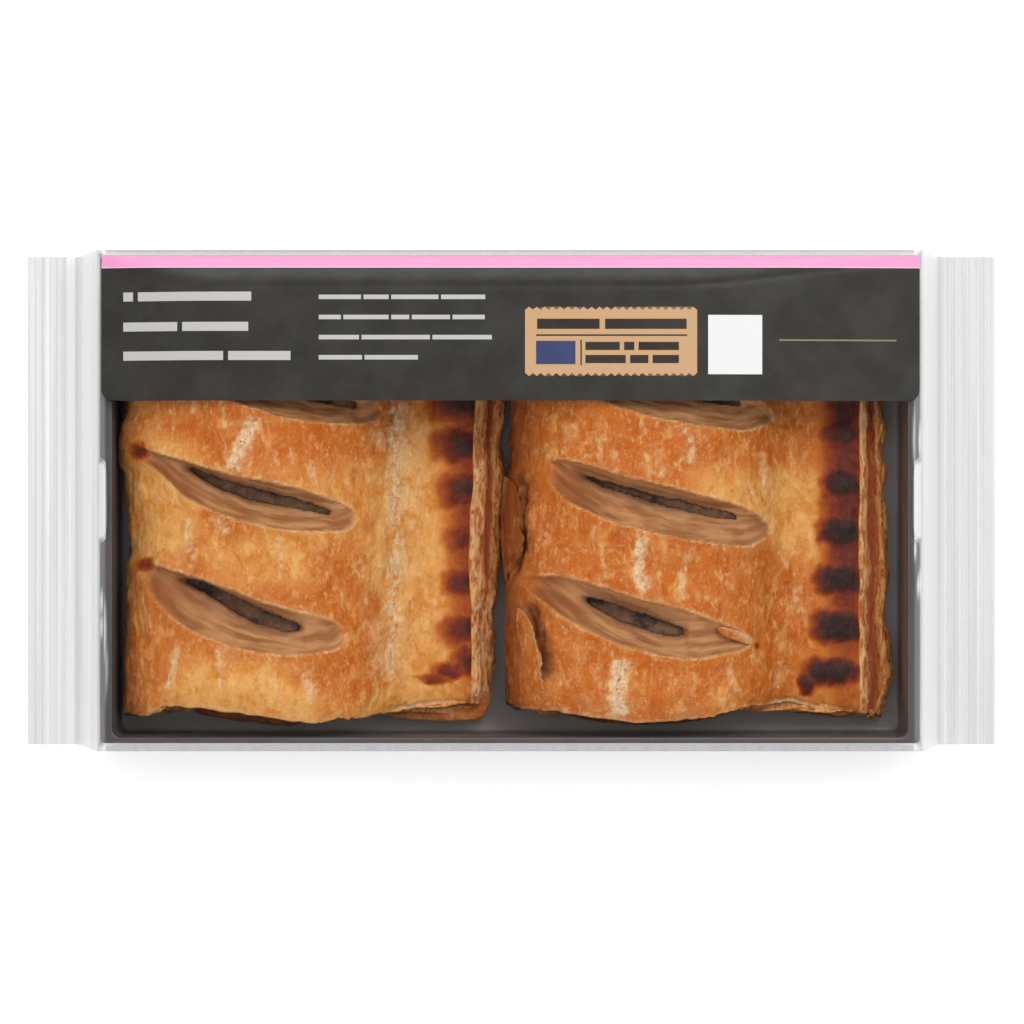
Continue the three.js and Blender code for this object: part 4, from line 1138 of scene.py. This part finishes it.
def crust_look():
    n = Nodes("baked_crust")
    burn, wall = n.field("burn"), n.field("wall")
    sunk, sheets, pale = n.field("sunk"), n.field("sheets"), n.field("pale")
    cut, gap, lower = n.field("cut"), n.field("gap"), n.field("lower")
    pits = n.field("pits")

    # Golden ground with large paler and deeper areas, and orange patches on it. The tone is deeper
    # towards the label as painted shade and paler by the seam as painted light.
    tone = n.step(n.field("tone"), 0.34, 0.66)
    colour = n.blend(tone, (236, 168, 88), (204, 110, 34))
    patches = n.noise(5.0, 5, (1.0, 0.85, 1.0), 0.65, 0.5)
    deeper = n.blend(tone, (218, 134, 44), (194, 94, 18))
    colour = n.tint(colour, patches, 0.44, 0.62, 0.85, deeper)
    light = n.noise(5.0, 5, (1.2, 0.75, 1.0), 0.66, 0.4)
    paler = n.blend(tone, (244, 188, 112), (232, 160, 82))
    colour = n.tint(colour, light, 0.52, 0.68, 0.8, paler)
    deep = n.noise(2.2, 4, (1.0, 0.85, 1.0), 0.62, 0.4)
    colour = n.tint(colour, deep, 0.62, 0.74, 0.55, (190, 84, 18))

    # Fine dry lines along the roll, where the skin has split.
    lines = n.noise(0.8, 5, (1.0, 0.45, 1.0), 0.72, 0.8)
    colour = n.tint(colour, lines, 0.60, 0.70, 0.45, (248, 212, 152))
    colour = n.tint(colour, lines, 0.40, 0.30, 0.40, (190, 104, 38))
    colour = n.blend(n.times(n.field("streaks"), 0.30), colour, (246, 204, 140))
    grain = n.noise(0.42, 3, (1.0, 0.6, 1.0), 0.6)
    colour = n.tint(colour, grain, 0.54, 0.70, 0.16, (252, 218, 160))
    colour = n.tint(colour, grain, 0.46, 0.30, 0.20, (172, 86, 30))

    # Pale, dry cracks and lips, and dark dots in the widest of them.
    patchy = n.times(n.noise(1.0, 5, (1, 0.7, 1), 0.7), 0.7)
    share = n.step(n.plus(patchy, n.times(pale, 0.7)), 0.44, 1.08)
    dry = n.step(n.noise(0.9, 5, (1, 0.8, 1), 0.7), 0.36, 0.64)
    dry = n.blend(dry, (226, 168, 102), (250, 220, 172))
    dry = n.blend(n.times(pits, 0.6), dry, (253, 234, 200))
    colour = n.blend(n.times(share, 0.85), colour, dry)
    cells = n.times(n.cell_edges(3.0, 0.28), 0.3)
    dots = n.math("MAXIMUM", n.step(n.noise(0.9, 2), 0.60, 0.68), cells)
    colour = n.blend(n.times(pits, dots), colour, (142, 88, 48))
    # Painted highlights: small pale glints of the glaze.
    painted_glints = n.step(n.noise(0.7, 2, (1, 0.7, 1), 0.5), 0.70, 0.78)
    colour = n.blend(n.times(painted_glints, 0.25), colour, (255, 238, 208))
    flecks = n.noise(2.4, 5, (1.3, 0.75, 1.0), 0.68, 0.25)
    colour = n.tint(colour, flecks, 0.54, 0.68, 0.50, (244, 194, 132))
    colour = n.tint(colour, flecks, 0.44, 0.32, 0.40, (192, 96, 32))

    # The low sides are browner than the crown, and the sheet below and the sheet bared by a tear
    # are brown: real browning, darkened further by painted shade.
    blotch = n.step(n.noise(3.0, 5, (1, 1, 1), 0.7), 0.36, 0.64)
    colour = n.blend(n.field("side"), colour, n.blend(blotch, (112, 52, 22), (150, 82, 40)))
    below = n.blend(blotch, (122, 62, 32), (186, 112, 60))
    colour = n.blend(n.times(n.field("under"), 0.9), colour, below)
    bared = n.blend(blotch, (92, 48, 26), (142, 84, 46))
    colour = n.blend(n.times(n.field("bared"), 0.9), colour, bared)

    # Cut edge: torn sheets, a red-brown gap darkened as painted shade, and the browner sheet
    # below.
    crumb = n.step(n.noise(0.9, 4, (1, 0.22, 1), 0.65, 0.5), 0.38, 0.60)
    upper = n.blend(crumb, (182, 102, 50), (230, 174, 112))
    upper = n.blend(n.times(sheets, 0.5), upper, (246, 212, 162))
    under = n.blend(crumb, (192, 104, 50), (240, 174, 104))
    edge = n.blend(lower, upper, under)
    edge = n.blend(gap, edge, (176, 84, 44))
    colour = n.blend(cut, colour, edge)

    # Inside a slash: tan sheets along the wall, turning grey-brown towards the gap and near black
    # in it as painted shade.
    layers = n.lanes(11.0, 0.75)
    inner = n.blend(n.step(layers, 0.38, 0.62), (160, 105, 64), (198, 143, 94))
    fine_layers = n.lanes(6.0, 1.7)
    inner = n.tint(inner, fine_layers, 0.50, 0.70, 0.30, (222, 174, 122))
    inner = n.tint(inner, fine_layers, 0.48, 0.30, 0.25, (132, 82, 50))
    redder = n.blend(layers, (110, 56, 28), (168, 98, 52))
    inner = n.blend(n.times(n.field("smoked"), 0.85), inner, redder)
    wall_in_shade = n.blend(layers, (100, 70, 50), (152, 115, 86))
    inner = n.blend(n.step(sunk, 0.10, 0.80), inner, wall_in_shade)
    inner = n.blend(n.step(sunk, 0.88, 1.0), inner, (60, 45, 38))
    colour = n.blend(wall, colour, inner)

    # Browned to red, then burnt.
    mottle = n.step(n.noise(1.6, 4, (1, 1, 1), 0.65), 0.30, 0.65)
    burn = n.times(burn, n.plus(n.times(mottle, 0.24), 0.88))
    burnt = n.ramp(
        burn, (0.10, (208, 122, 46)), (0.27, (176, 88, 32)), (0.42, (144, 60, 28)),
        (0.56, (112, 46, 32)), (0.72, (78, 42, 34)), (1.0, (44, 33, 31)),
    )
    colour = n.blend(n.step(burn, 0.0, 0.24), colour, burnt)

    fine = n.noise(0.5, 5, (1.0, 0.6, 1.0), 0.7)
    flakes = n.noise(1.5, 5, (1.0, 0.6, 1.0), 0.65, 0.6)
    crust_height = n.plus(n.times(fine, 0.4), flakes)
    wall_height = n.times(n.plus(layers, fine_layers), 0.6)
    heights = n.add("ShaderNodeMix", data_type="FLOAT")
    n.put(heights.inputs["Factor"], wall)
    n.put(heights.inputs[2], crust_height)
    n.put(heights.inputs[3], wall_height)
    normal = n.bump(heights.outputs[0], 0.36, 1.0)
    glaze = n.step(n.noise(3.0, 4), 0.3, 0.7, 0.26, 0.46)
    roughness = n.math("ADD", glaze, n.times(n.math("MAXIMUM", wall, cut), 0.35), clamp=True)
    return n.shown(n.principled(colour, roughness, Normal=normal, Specular_IOR_Level=0.15))


def meat_look():
    n = Nodes("cooked_meat")
    patches = n.step(n.noise(2.6, 4, roughness=0.65), 0.35, 0.65)
    colour = n.blend(patches, (84, 60, 46), (124, 92, 70))
    specks = n.step(n.noise(0.8, 3), 0.60, 0.68)
    colour = n.blend(specks, colour, (150, 116, 90))
    # The top, seen down the slashes, is darker and near black in patches: painted shade under the
    # crust.
    top = n.step(n.axis("Z"), 24.0, 27.0)
    dark = n.step(n.noise(9.0, 4, roughness=0.6), 0.50, 0.60)
    crust = n.blend(patches, (98, 70, 50), (136, 98, 70))
    crust = n.blend(dark, crust, (46, 37, 31))
    colour = n.blend(top, colour, crust)
    normal = n.bump(n.noise(0.9, 5, roughness=0.7), 0.8)
    return n.shown(n.principled(colour, 0.5, Normal=normal))


# ---------- the tray ----------

TRAY_WALL = 0.8  # thickness
TRAY_FLANGE = np.array([2.8, 1.4])  # along the pack and across it
TRAY_SLOPE = np.array([0.9, 0.7])  # how far the walls lean in, the same way
TRAY_FOOT = 0.8  # radius between wall and floor
TRAY_LIP = 0.4  # thickness of the flange's turned-down edge
RIM_CORNER = 1.0
POCKET_CORNER = 2.0
NOTCH_HALF_WIDTH = 9.5
NOTCH_DEPTH = 1.3


def tray_ring(low, high, inset, z, notch):
    """A rounded rectangle, with a finger notch stepped into both short sides."""
    in_x, in_y = np.broadcast_to(inset, 2)
    x1, y1 = low[0] + in_x, low[1] + in_y
    x2, y2 = high[0] - in_x, high[1] - in_y
    radius = mix(RIM_CORNER, POCKET_CORNER, smoothstep(TRAY_LIP, TRAY_LIP + 0.1, in_y))
    points = []

    def corner(x, y, turn):
        for angle in np.linspace(turn, turn + math.pi / 2, 13):
            points.append((x + radius * math.cos(angle), y + radius * math.sin(angle), z))

    def short_side(x, inward, direction):
        for y in np.linspace(-direction * 1.5, direction * 1.5, 49) * NOTCH_HALF_WIDTH:
            depth = 1 - smoothstep(0.96, 1.06, abs(y) / NOTCH_HALF_WIDTH)
            points.append((x + inward * depth * notch, y, z))

    corner(x2 - radius, y2 - radius, 0)
    corner(x1 + radius, y2 - radius, math.pi / 2)
    short_side(x1, 1, -1)
    corner(x1 + radius, y1 + radius, math.pi)
    corner(x2 - radius, y1 + radius, 1.5 * math.pi)
    short_side(x2, -1, 1)
    return points


def build_tray(material):
    low, high = node_box("tray")
    bottom, rim = low[2], high[2]
    foot = TRAY_FLANGE + TRAY_SLOPE
    # From the underside up the outside, over the rim and down the inside to the floor: how
    # far in from the rim, the height, and how deep the finger notch is there.
    profile = [(foot + TRAY_FOOT - TRAY_WALL + 1.5, bottom, 0)]
    for turn in np.linspace(0, math.pi / 2, 6):
        inset = foot - TRAY_WALL + TRAY_FOOT * (1 - math.sin(turn))
        profile.append((inset, bottom + TRAY_FOOT * (1 - math.cos(turn)), 0))
    profile += [
        (TRAY_FLANGE - TRAY_WALL + 0.1, rim - TRAY_WALL - 0.5, 0),
        (TRAY_FLANGE - TRAY_WALL - 0.1, rim - TRAY_WALL, 0.3 * NOTCH_DEPTH),
        (TRAY_LIP, rim - TRAY_WALL, NOTCH_DEPTH),
        (0.36, rim - 2.2 * TRAY_WALL, NOTCH_DEPTH),
        (0.2, rim - 2.4 * TRAY_WALL, NOTCH_DEPTH),
        (0.04, rim - 2.2 * TRAY_WALL, NOTCH_DEPTH),
        (0.0, rim - 0.5, NOTCH_DEPTH),
        (0.12, rim - 0.12, NOTCH_DEPTH),
        (0.4, rim, NOTCH_DEPTH),
        (TRAY_FLANGE - 0.35, rim, 0.0),
        (TRAY_FLANGE - 0.05, rim - 0.12, 0),
        (TRAY_FLANGE + 0.08, rim - 0.5, 0),
    ]
    inner_foot = bottom + TRAY_WALL
    for turn in np.linspace(math.pi / 2, 0, 6):
        inset = foot + TRAY_FOOT * (1 - math.sin(turn))
        profile.append((inset, inner_foot + TRAY_FOOT * (1 - math.cos(turn)), 0))
    profile.append((foot + TRAY_FOOT + 1.2, inner_foot, 0))
    rings = [tray_ring(low, high, inset, z, notch) for inset, z, notch in profile]
    tray = loft("tray_shell", rings)
    tray.data.set_sharp_from_angle(angle=math.radians(40))
    finish_piece(tray, material, "tray", "tray")


def tray_look():
    n = Nodes("tray_plastic")
    cloud = n.step(n.noise(30, 3), 0.3, 0.7)
    colour = n.blend(cloud, (74, 69, 67), (85, 80, 78))
    scuff = n.step(n.noise(1.2, 5, (0.2, 1, 1), 0.7), 0.66, 0.8)
    height = n.axis("Z")
    # Painted light: the flange top and the floor are lighter than the walls of the same plastic.
    colour = n.blend(n.step(height, 24.5, 21.0), colour, (100, 94, 90))
    colour = n.blend(n.step(height, 4.0, 1.9), colour, (150, 143, 139))
    colour = n.blend(n.times(scuff, 0.25), colour, (150, 146, 142))
    normal = n.bump(n.noise(0.5, 3), 0.03, 0.5)
    roughness = n.step(n.noise(12, 4), 0.3, 0.7, 0.28, 0.42)
    return n.shown(n.principled(colour, roughness, Normal=normal, Specular_IOR_Level=0.5))


# ---------- the film ----------

FILM = {
    "crown": 36.7, "rim": 26.2, "fall_left": 0.49, "fall_right": 0.22, "fall_ends": 1.7,
    "bend": 3.0, "thickness": 0.4,
}
SEAL = {"left": -102.2, "right": 100.4, "half_width": 57.2, "z": 12.6, "ridge_pitch": 1.7}
LAP_Y, LAP_WIDTH = -16.0, 9.0
# Brightness of the creased film beyond the tray, painted light and shade of its creases, as pairs
# of x and share of white.
FILM_PAINTED_BANDS = [
    (-113.3, 0.62), (-111.5, 0.50), (-109.2, 0.46), (-108.6, 0.80), (-108.0, 0.50),
    (-106.6, 0.48), (-106.2, 0.78), (-105.6, 0.52), (-104.2, 0.56), (-103.6, 1.0),
    (-102.6, 1.0), (-102.0, 0.45), (-100.8, 0.62), (-100.0, 1.0), (-98.2, 0.96),
    (-97.6, 0.55), (-96.2, 0.50), (-95.6, 0.9), (95.0, 0.9), (95.6, 0.75), (96.6, 1.0),
    (99.4, 1.0), (100.0, 0.50), (101.2, 0.46), (101.8, 0.85), (102.4, 0.50), (104.8, 0.46),
    (105.3, 0.80), (106.0, 0.48), (108.6, 0.46), (109.2, 0.78), (109.9, 0.50), (113.3, 0.6),
]


def soft_min(a, b, softness):
    h = unit(0.5 + 0.5 * (b - a) / softness)
    return b + (a - b) * h - softness * h * (1 - h)


def film_top(x, y):
    """Height of the film drawn tight from the tray rim over the rolls, just outside it."""
    low, high = node_box("tray")
    from_left = FILM["rim"] + FILM["fall_left"] * (x - low[0])
    from_right = FILM["rim"] + FILM["fall_right"] * (high[0] - x)
    from_near = FILM["rim"] + FILM["fall_ends"] * (y - low[1])
    from_far = FILM["rim"] + FILM["fall_ends"] * (high[1] - y)
    z = soft_min(from_left, from_right, FILM["bend"])
    z = soft_min(z, FILM["crown"] + 0.6, FILM["bend"])
    z = soft_min(z, from_near, FILM["bend"])
    z = soft_min(z, from_far, FILM["bend"])
    return np.maximum(z, high[2] + 0.3) + 0.5 * FILM["thickness"]


def film_stations(low, high):
    """Places along the pack for the rings of the film: close at the crimps, wide between."""
    tray_low, tray_high = node_box("tray")
    left = np.arange(low[0], SEAL["left"], SEAL["ridge_pitch"] / 8)
    right = np.arange(SEAL["right"], high[0] - 0.05, SEAL["ridge_pitch"] / 8)
    into = np.linspace(SEAL["left"], tray_low[0] + 4, 34)
    out = np.linspace(tray_high[0] - 4, SEAL["right"], 34, endpoint=False)
    middle = np.linspace(tray_low[0] + 4, tray_high[0] - 4, 120)
    return np.concatenate([left, into, middle[1:-1], out, right, [high[0]]])


def build_film(material):
    low, high = node_box("film_wrap")
    tray_low, tray_high = node_box("tray")
    rng = np.random.default_rng(12)
    # Shares of the half width at the points of a ring, closer together by the tray's edge.
    shares = np.concatenate([np.linspace(0, 0.8, 40, endpoint=False), np.linspace(0.8, 1, 26)])
    rings = []
    for x in film_stations(low, high):
        if x < 0:
            close = unit((tray_low[0] - 0.6 - x) / (tray_low[0] - 0.6 - SEAL["left"]))
        else:
            close = unit((x - tray_high[0] - 0.6) / (SEAL["right"] - tray_high[0] - 0.6))
        half = mix(high[1], SEAL["half_width"], smoothstep(0, 1, close)) - 0.2
        ease = close**0.85
        in_seal = max(SEAL["left"] - x, x - SEAL["right"], 0.0)
        ridge = 0.3 * math.sin(2 * math.pi * in_seal / SEAL["ridge_pitch"]) * min(1, in_seal)
        seal_z = SEAL["z"] + ridge
        top_y = half * shares
        pucker = 0.5 * ease * (1 - ease) * 4 * wander(top_y / 3.4, 0.5, 21, 3)
        far_top = mix(film_top(x, top_y), seal_z + 0.12, ease) + pucker
        near_top = mix(film_top(x, -top_y), seal_z + 0.12, ease) + pucker[::-1]
        steps = np.linspace(0, 1, 14)[1:]
        bottom_z = mix(0.2, seal_z - 0.12, ease)
        side_z = mix(far_top[-1], bottom_z, steps)
        lean = mix(1.0, 4.5 * (1 - ease), steps**6)
        side_y = half + 0.15 * np.sin(steps * math.pi) ** 0.8 - lean * steps**3 * (1 - 0.9 * ease)
        under_y = np.linspace(side_y[-1], 0, 24)[1:]
        far_half = np.stack([
            np.concatenate([top_y, side_y, under_y]),
            np.concatenate([far_top, side_z, np.full(len(under_y), bottom_z)]),
        ], -1)
        near_half = far_half[1:-1][::-1] * [-1, 1]
        near_half[-(len(top_y) - 1):, 1] = near_top[1:][::-1]
        ring = np.vstack([far_half, near_half])
        rings.append(np.column_stack([np.full(len(ring), x), ring]))
    film = loft("film_skin", rings)

    # haze is how much the film hides, and white how bright it is there, as painted light and
    # shade.
    x, y, z = places_mm(film).T
    beyond = np.maximum(tray_low[0] - x, x - tray_high[0])
    aside = np.maximum(tray_low[1] - y, y - tray_high[1])
    sealed = smoothstep(-1.0, 1.0, np.maximum(SEAL["left"] - x, x - SEAL["right"]))
    at_ends = smoothstep(-1.9, -0.6, beyond)
    over_flange = np.maximum(at_ends, 0.6 * smoothstep(-0.9, 0.1, aside))
    haze = 0.16 * over_flange * (z > 10)
    haze = np.maximum(haze, np.where(x < 0, 0.95, 0.86) * smoothstep(-0.5, 1.0, beyond))
    beside = (0.26 + 0.34 * smoothstep(20, 25, z)) * (z > 3)
    haze = np.maximum(haze, beside * smoothstep(-0.2, 0.8, aside))
    haze = np.maximum(haze, 0.82 * sealed)
    # Painted highlight: the film over each finger notch is made milky white.
    notch_y = unit(np.abs(y) / 9.2)
    notch_highlight = smoothstep(-1.9 + 1.2 * notch_y**9, -1.2 + 1.2 * notch_y**9, beyond) * (z > 10)
    notch_highlight = notch_highlight * smoothstep(0.9, 0.2, beyond)
    haze = np.maximum(haze, 0.8 * notch_highlight * smoothstep(1.0, 0.9, notch_y))
    # Painted highlights: thin milky glints along the film at both ends.
    for _ in range(9):
        cy, half_length = rng.uniform(-46, 18), rng.uniform(2.0, 7.0)
        side, offset = rng.choice([-1, 1]), rng.uniform(-1.6, 0.2)
        glint_line = bell(beyond - offset - 0.004 * (y - cy) ** 2, 0.32) * (np.sign(x) == side)
        haze = np.maximum(haze, 0.9 * glint_line * bell(y - cy, half_length) * (z > 10))
    bands = np.array(FILM_PAINTED_BANDS)
    white = np.interp(x, bands[:, 0], bands[:, 1])
    white = unit(white + 0.22 * wander(x / 0.9, y / 60, 31, 2))
    # The long sides get a fixed grey, a little lighter in front: painted shade.
    aside_painted_shade = np.where(y > 0, 0.0, 0.12)
    set_attribute(film, "haze", haze)
    set_attribute(film, "white", np.where(at_ends > 0.5, 0.5 + 0.5 * white, aside_painted_shade))
    finish_piece(film, material, "film", "film_wrap")

    # The lap on the underside: a flat strip where the two edges of the film are joined.
    xs = np.linspace(tray_low[0] + 5, tray_high[0] - 5, 220)
    ys = np.linspace(LAP_Y - LAP_WIDTH, LAP_Y, 10)
    gx, gy = np.meshgrid(xs, ys, indexing="ij")
    gz = 0.14 + 0.03 * np.sin(gx * 2 * math.pi / 1.8)
    lap = sheet_grid("film_lap", np.stack([gx, gy, gz], -1), 0.08)
    for name, value in (("haze", 0.3), ("white", 0.6)):
        set_attribute(lap, name, np.full(len(lap.data.vertices), value))
    finish_piece(lap, material, "film")


def film_look():
    n = Nodes("clear_film")
    # Painted light and shade: the white field and fine streaks brighten and grey the milky film.
    painted_streak = n.step(n.noise(2.0, 3, (1.0, 0.02, 0.3), 0.6), 0.35, 0.65, -0.06, 0.06)
    white = n.math("ADD", n.field("white"), painted_streak, clamp=True)
    milky = n.principled(n.blend(white, (168, 169, 172), (255, 255, 255)), 0.35)
    clear = n.add("ShaderNodeBsdfTransparent").outputs[0]
    body = n.mixed(n.field("haze"), clear, milky)
    gloss = n.add("ShaderNodeBsdfGlossy")
    ripples = n.bump(n.noise(14, 2, (1.0, 0.5, 1.0)), 0.5, 0.5)
    n.fill(gloss, Roughness=0.10, Normal=ripples)
    fresnel = n.add("ShaderNodeFresnel")
    n.fill(fresnel, IOR=1.30)
    return n.shown(n.mixed(n.times(fresnel.outputs[0], 0.14), body, gloss.outputs[0]))


# ---------- the label ----------

LABEL_CORNER = 2.8
# How far the label, its print and the print on its panel stand above the film.
LABEL_LIFT, PRINT_LIFT, PANEL_LIFT = 0.40, 0.47, 0.54
LABEL_LOOKS = {
    "dark": ((44, 42, 36), 0.45), "pink": ((250, 162, 208), 0.45),
    "blush": ((246, 212, 232), 0.45), "tan": ((210, 168, 124), 0.5),
    "white": ((241, 241, 241), 0.5), "pale": ((200, 198, 192), 0.5),
    "ink": ((48, 38, 32), 0.5), "blue": ((52, 62, 112), 0.5),
    "gold": ((150, 130, 106), 0.45),
}
PIXELS_PER_MM = 4.3
PHOTO_SIZE = 1024
PHOTO_MIDDLE = (511.5, 500.5)  # where the middle of the pack is in the photograph


def from_photo(px, py):
    """A place on the pack, in millimetres, from a place in the photograph."""
    return (px - PHOTO_MIDDLE[0]) / PIXELS_PER_MM, (PHOTO_MIDDLE[1] - py) / PIXELS_PER_MM


def level(y):
    """A straight edge at one y."""
    return lambda x: np.full_like(x, y)


def patch(left, right, bottom, top, lift, columns=None):
    """Points of a sheet that follows the film. bottom and top are its edges over x."""
    if columns is None:
        columns = np.linspace(left, right, max(2, round(right - left) + 1))
    columns = np.asarray(columns, dtype=float)
    low, high = bottom(columns), top(columns)
    rows = np.linspace(0, 1, max(2, round(float(np.max(high - low))) + 1))[:, None]
    y = mix(low[None, :], high[None, :], rows)
    x = np.broadcast_to(columns, y.shape)
    return np.stack([x, y, film_top(x, y) + lift], -1)


def photo_box(x1, y1, x2, y2, lift):
    """A rectangle of print between two places of the photograph."""
    left, top = from_photo(x1, y1)
    right, bottom = from_photo(x2, y2)
    return patch(left, right, level(bottom), level(top), lift)


def print_sheets(name, grids, material, *nodes):
    """One piece of the label from one or more thin sheets."""
    vertices, faces = [], []
    for grid in grids:
        sheet = sheet_grid("sheet", grid, 0.05)
        first = sum(len(part) for part in vertices)
        vertices.append(places_mm(sheet))
        faces += [[first + corner for corner in face.vertices] for face in sheet.data.polygons]
        bpy.data.objects.remove(sheet)
    piece = new_piece(name, np.concatenate(vertices), faces)
    piece.data.set_sharp_from_angle(angle=math.radians(40))
    finish_piece(piece, material, "label", *nodes)


def word_bars(rows, lift):
    """Plain bars in place of lines of words. Each row is y, height, x and the widths."""
    bars = []
    for y, height, x, widths in rows:
        for width in widths:
            bars.append(photo_box(x, y, x + width, y + height, lift))
            x += width + 0.55 * height
    return bars


def build_label(looks):
    low, high = node_box("label")
    left, right, near, far = low[0], high[0], low[1], high[1]

    def rounded_bottom(x):
        into = np.clip(LABEL_CORNER - np.minimum(x - left, right - x), 0, LABEL_CORNER)
        return near + LABEL_CORNER - np.sqrt(LABEL_CORNER**2 - into**2)

    corner = LABEL_CORNER * (1 - np.cos(np.linspace(0, math.pi / 2, 10)))
    middle = np.linspace(left + 3, right - 3, 180)
    columns = np.concatenate([left + corner, middle, right - corner[::-1]])
    base = patch(left, right, rounded_bottom, level(far), LABEL_LIFT, columns)
    print_sheets("label_sheet", [base], looks["dark"], "label")

    edge = from_photo(0, 267.5)[1]
    stripe = patch(left, right, level(edge), level(far), PRINT_LIFT)
    hairline = patch(left, right, level(edge - 0.22), level(edge), PRINT_LIFT)

    # Plain bars in place of the heading and of the lines of words beside it.
    words = word_bars([
        (293, 9, 124, (10, 114)), (323, 9, 124, (55, 66)), (352, 9, 124, (101, 62)),
        (296, 4.5, 320, (42, 25, 47, 44)), (316, 4.5, 320, (22, 45, 18, 38, 32)),
        (336, 4.5, 320, (40, 68, 59)), (356, 4.5, 320, (43, 53)),
    ], PRINT_LIFT)

    # A tan panel with zigzag edges, and print of plain shapes on it.
    x1, y1 = from_photo(525, 377)
    x2, y2 = from_photo(696, 308)
    teeth = 22

    def zigzag(x):
        return 0.75 * np.abs(((x - x1) / (x2 - x1) * teeth) % 1.0 * 2 - 1)

    columns = np.linspace(x1, x2, teeth * 8 + 1)
    panel = patch(x1, x2, lambda x: y1 + zigzag(x), lambda x: y2 - zigzag(x), PRINT_LIFT, columns)
    marks = word_bars([
        (320, 10, 537, (62, 81)), (343, 8, 585, (34, 10, 40)), (356, 8, 585, (40, 18, 26)),
    ], PANEL_LIFT)
    marks.append(photo_box(536, 335.5, 686, 337, PANEL_LIFT))
    marks.append(photo_box(580, 341, 581.3, 366, PANEL_LIFT))

    for name, look, grids in (
        ("stripe", "pink", [stripe]),
        ("hairline", "blush", [hairline]),
        ("words", "pale", words),
        ("panel", "tan", [panel]),
        ("marks", "ink", marks),
        ("field", "blue", [photo_box(536, 342, 575, 365, PANEL_LIFT)]),
        ("square", "white", [photo_box(707, 316, 761, 375, PRINT_LIFT)]),
        ("rule", "gold", [photo_box(778, 340, 896, 341.6, PRINT_LIFT)]),
    ):
        print_sheets("label_" + name, grids, looks[look])


def label_look(name, colour, roughness):
    n = Nodes(name)
    mottle = n.step(n.noise(9, 4), 0.3, 0.7)
    tone = n.blend(n.times(mottle, 0.015), colour, (255, 255, 255))
    normal = n.bump(n.noise(0.35, 3), 0.02, 0.4)
    rough = n.step(n.noise(5, 3), 0.3, 0.7, roughness - 0.04, roughness + 0.04)
    return n.shown(n.principled(tone, rough, Normal=normal, Specular_IOR_Level=0.25))


# ---------- the stage ----------


def build_stage():
    floor = bpy.data.meshes.new("floor")
    floor.from_pydata([(-3, -3, 0), (3, -3, 0), (3, 3, 0), (-3, 3, 0)], [], [(0, 1, 2, 3)])
    piece = bpy.data.objects.new("floor", floor)
    bpy.context.scene.collection.objects.link(piece)
    n = Nodes("pale_floor")
    white = (250, 250, 250)
    matt = n.principled(
        white, 0.9, Specular_IOR_Level=0.1, Emission_Color=white, Emission_Strength=0.42,
    )
    floor.materials.append(n.shown(matt))

    world = bpy.data.worlds.new("studio")
    world.use_nodes = True
    background = world.node_tree.nodes["Background"]
    background.inputs["Color"].default_value = (1.0, 1.0, 1.0, 1.0)
    background.inputs["Strength"].default_value = 0.59
    bpy.context.scene.world = world

    def softbox(name, place, size, power):
        light = bpy.data.lights.new(name, "AREA")
        light.shape = "RECTANGLE"
        light.size, light.size_y = size
        light.energy = power
        box = bpy.data.objects.new(name, light)
        box.location = place
        box.rotation_euler = (-Vector(place)).to_track_quat("-Z", "Y").to_euler()
        bpy.context.scene.collection.objects.link(box)

    softbox("key", (0.38, 0.48, 1.0), (0.6, 0.6), 5.6)
    softbox("fill", (-0.70, -0.30, 0.90), (1.0, 1.0), 2.0)

    # The camera looks straight down, far off, with the photograph's scale at the tray rim.
    scale_height = FILM["rim"] * MM
    distance = 1.8
    frame_width = PHOTO_SIZE / PIXELS_PER_MM * MM
    lens = bpy.data.cameras.new("camera")
    lens.sensor_width = 36.0
    lens.lens = lens.sensor_width * distance / frame_width
    lens.clip_end = 10
    camera = bpy.data.objects.new("camera", lens)
    x, y = from_photo(PHOTO_SIZE / 2, PHOTO_SIZE / 2)
    camera.location = (x * MM, y * MM, scale_height + distance)
    bpy.context.scene.collection.objects.link(camera)
    bpy.context.scene.camera = camera
    bpy.context.scene.view_settings.view_transform = "Standard"


# ---------- the pack ----------

crust_material = crust_look()
meat_material = meat_look()
build_roll(LEFT, crust_material, meat_material)
build_roll(RIGHT, crust_material, meat_material)
build_tray(tray_look())
build_film(film_look())
build_label({
    name: label_look("label_" + name, *look) for name, look in LABEL_LOOKS.items()
})
build_stage()
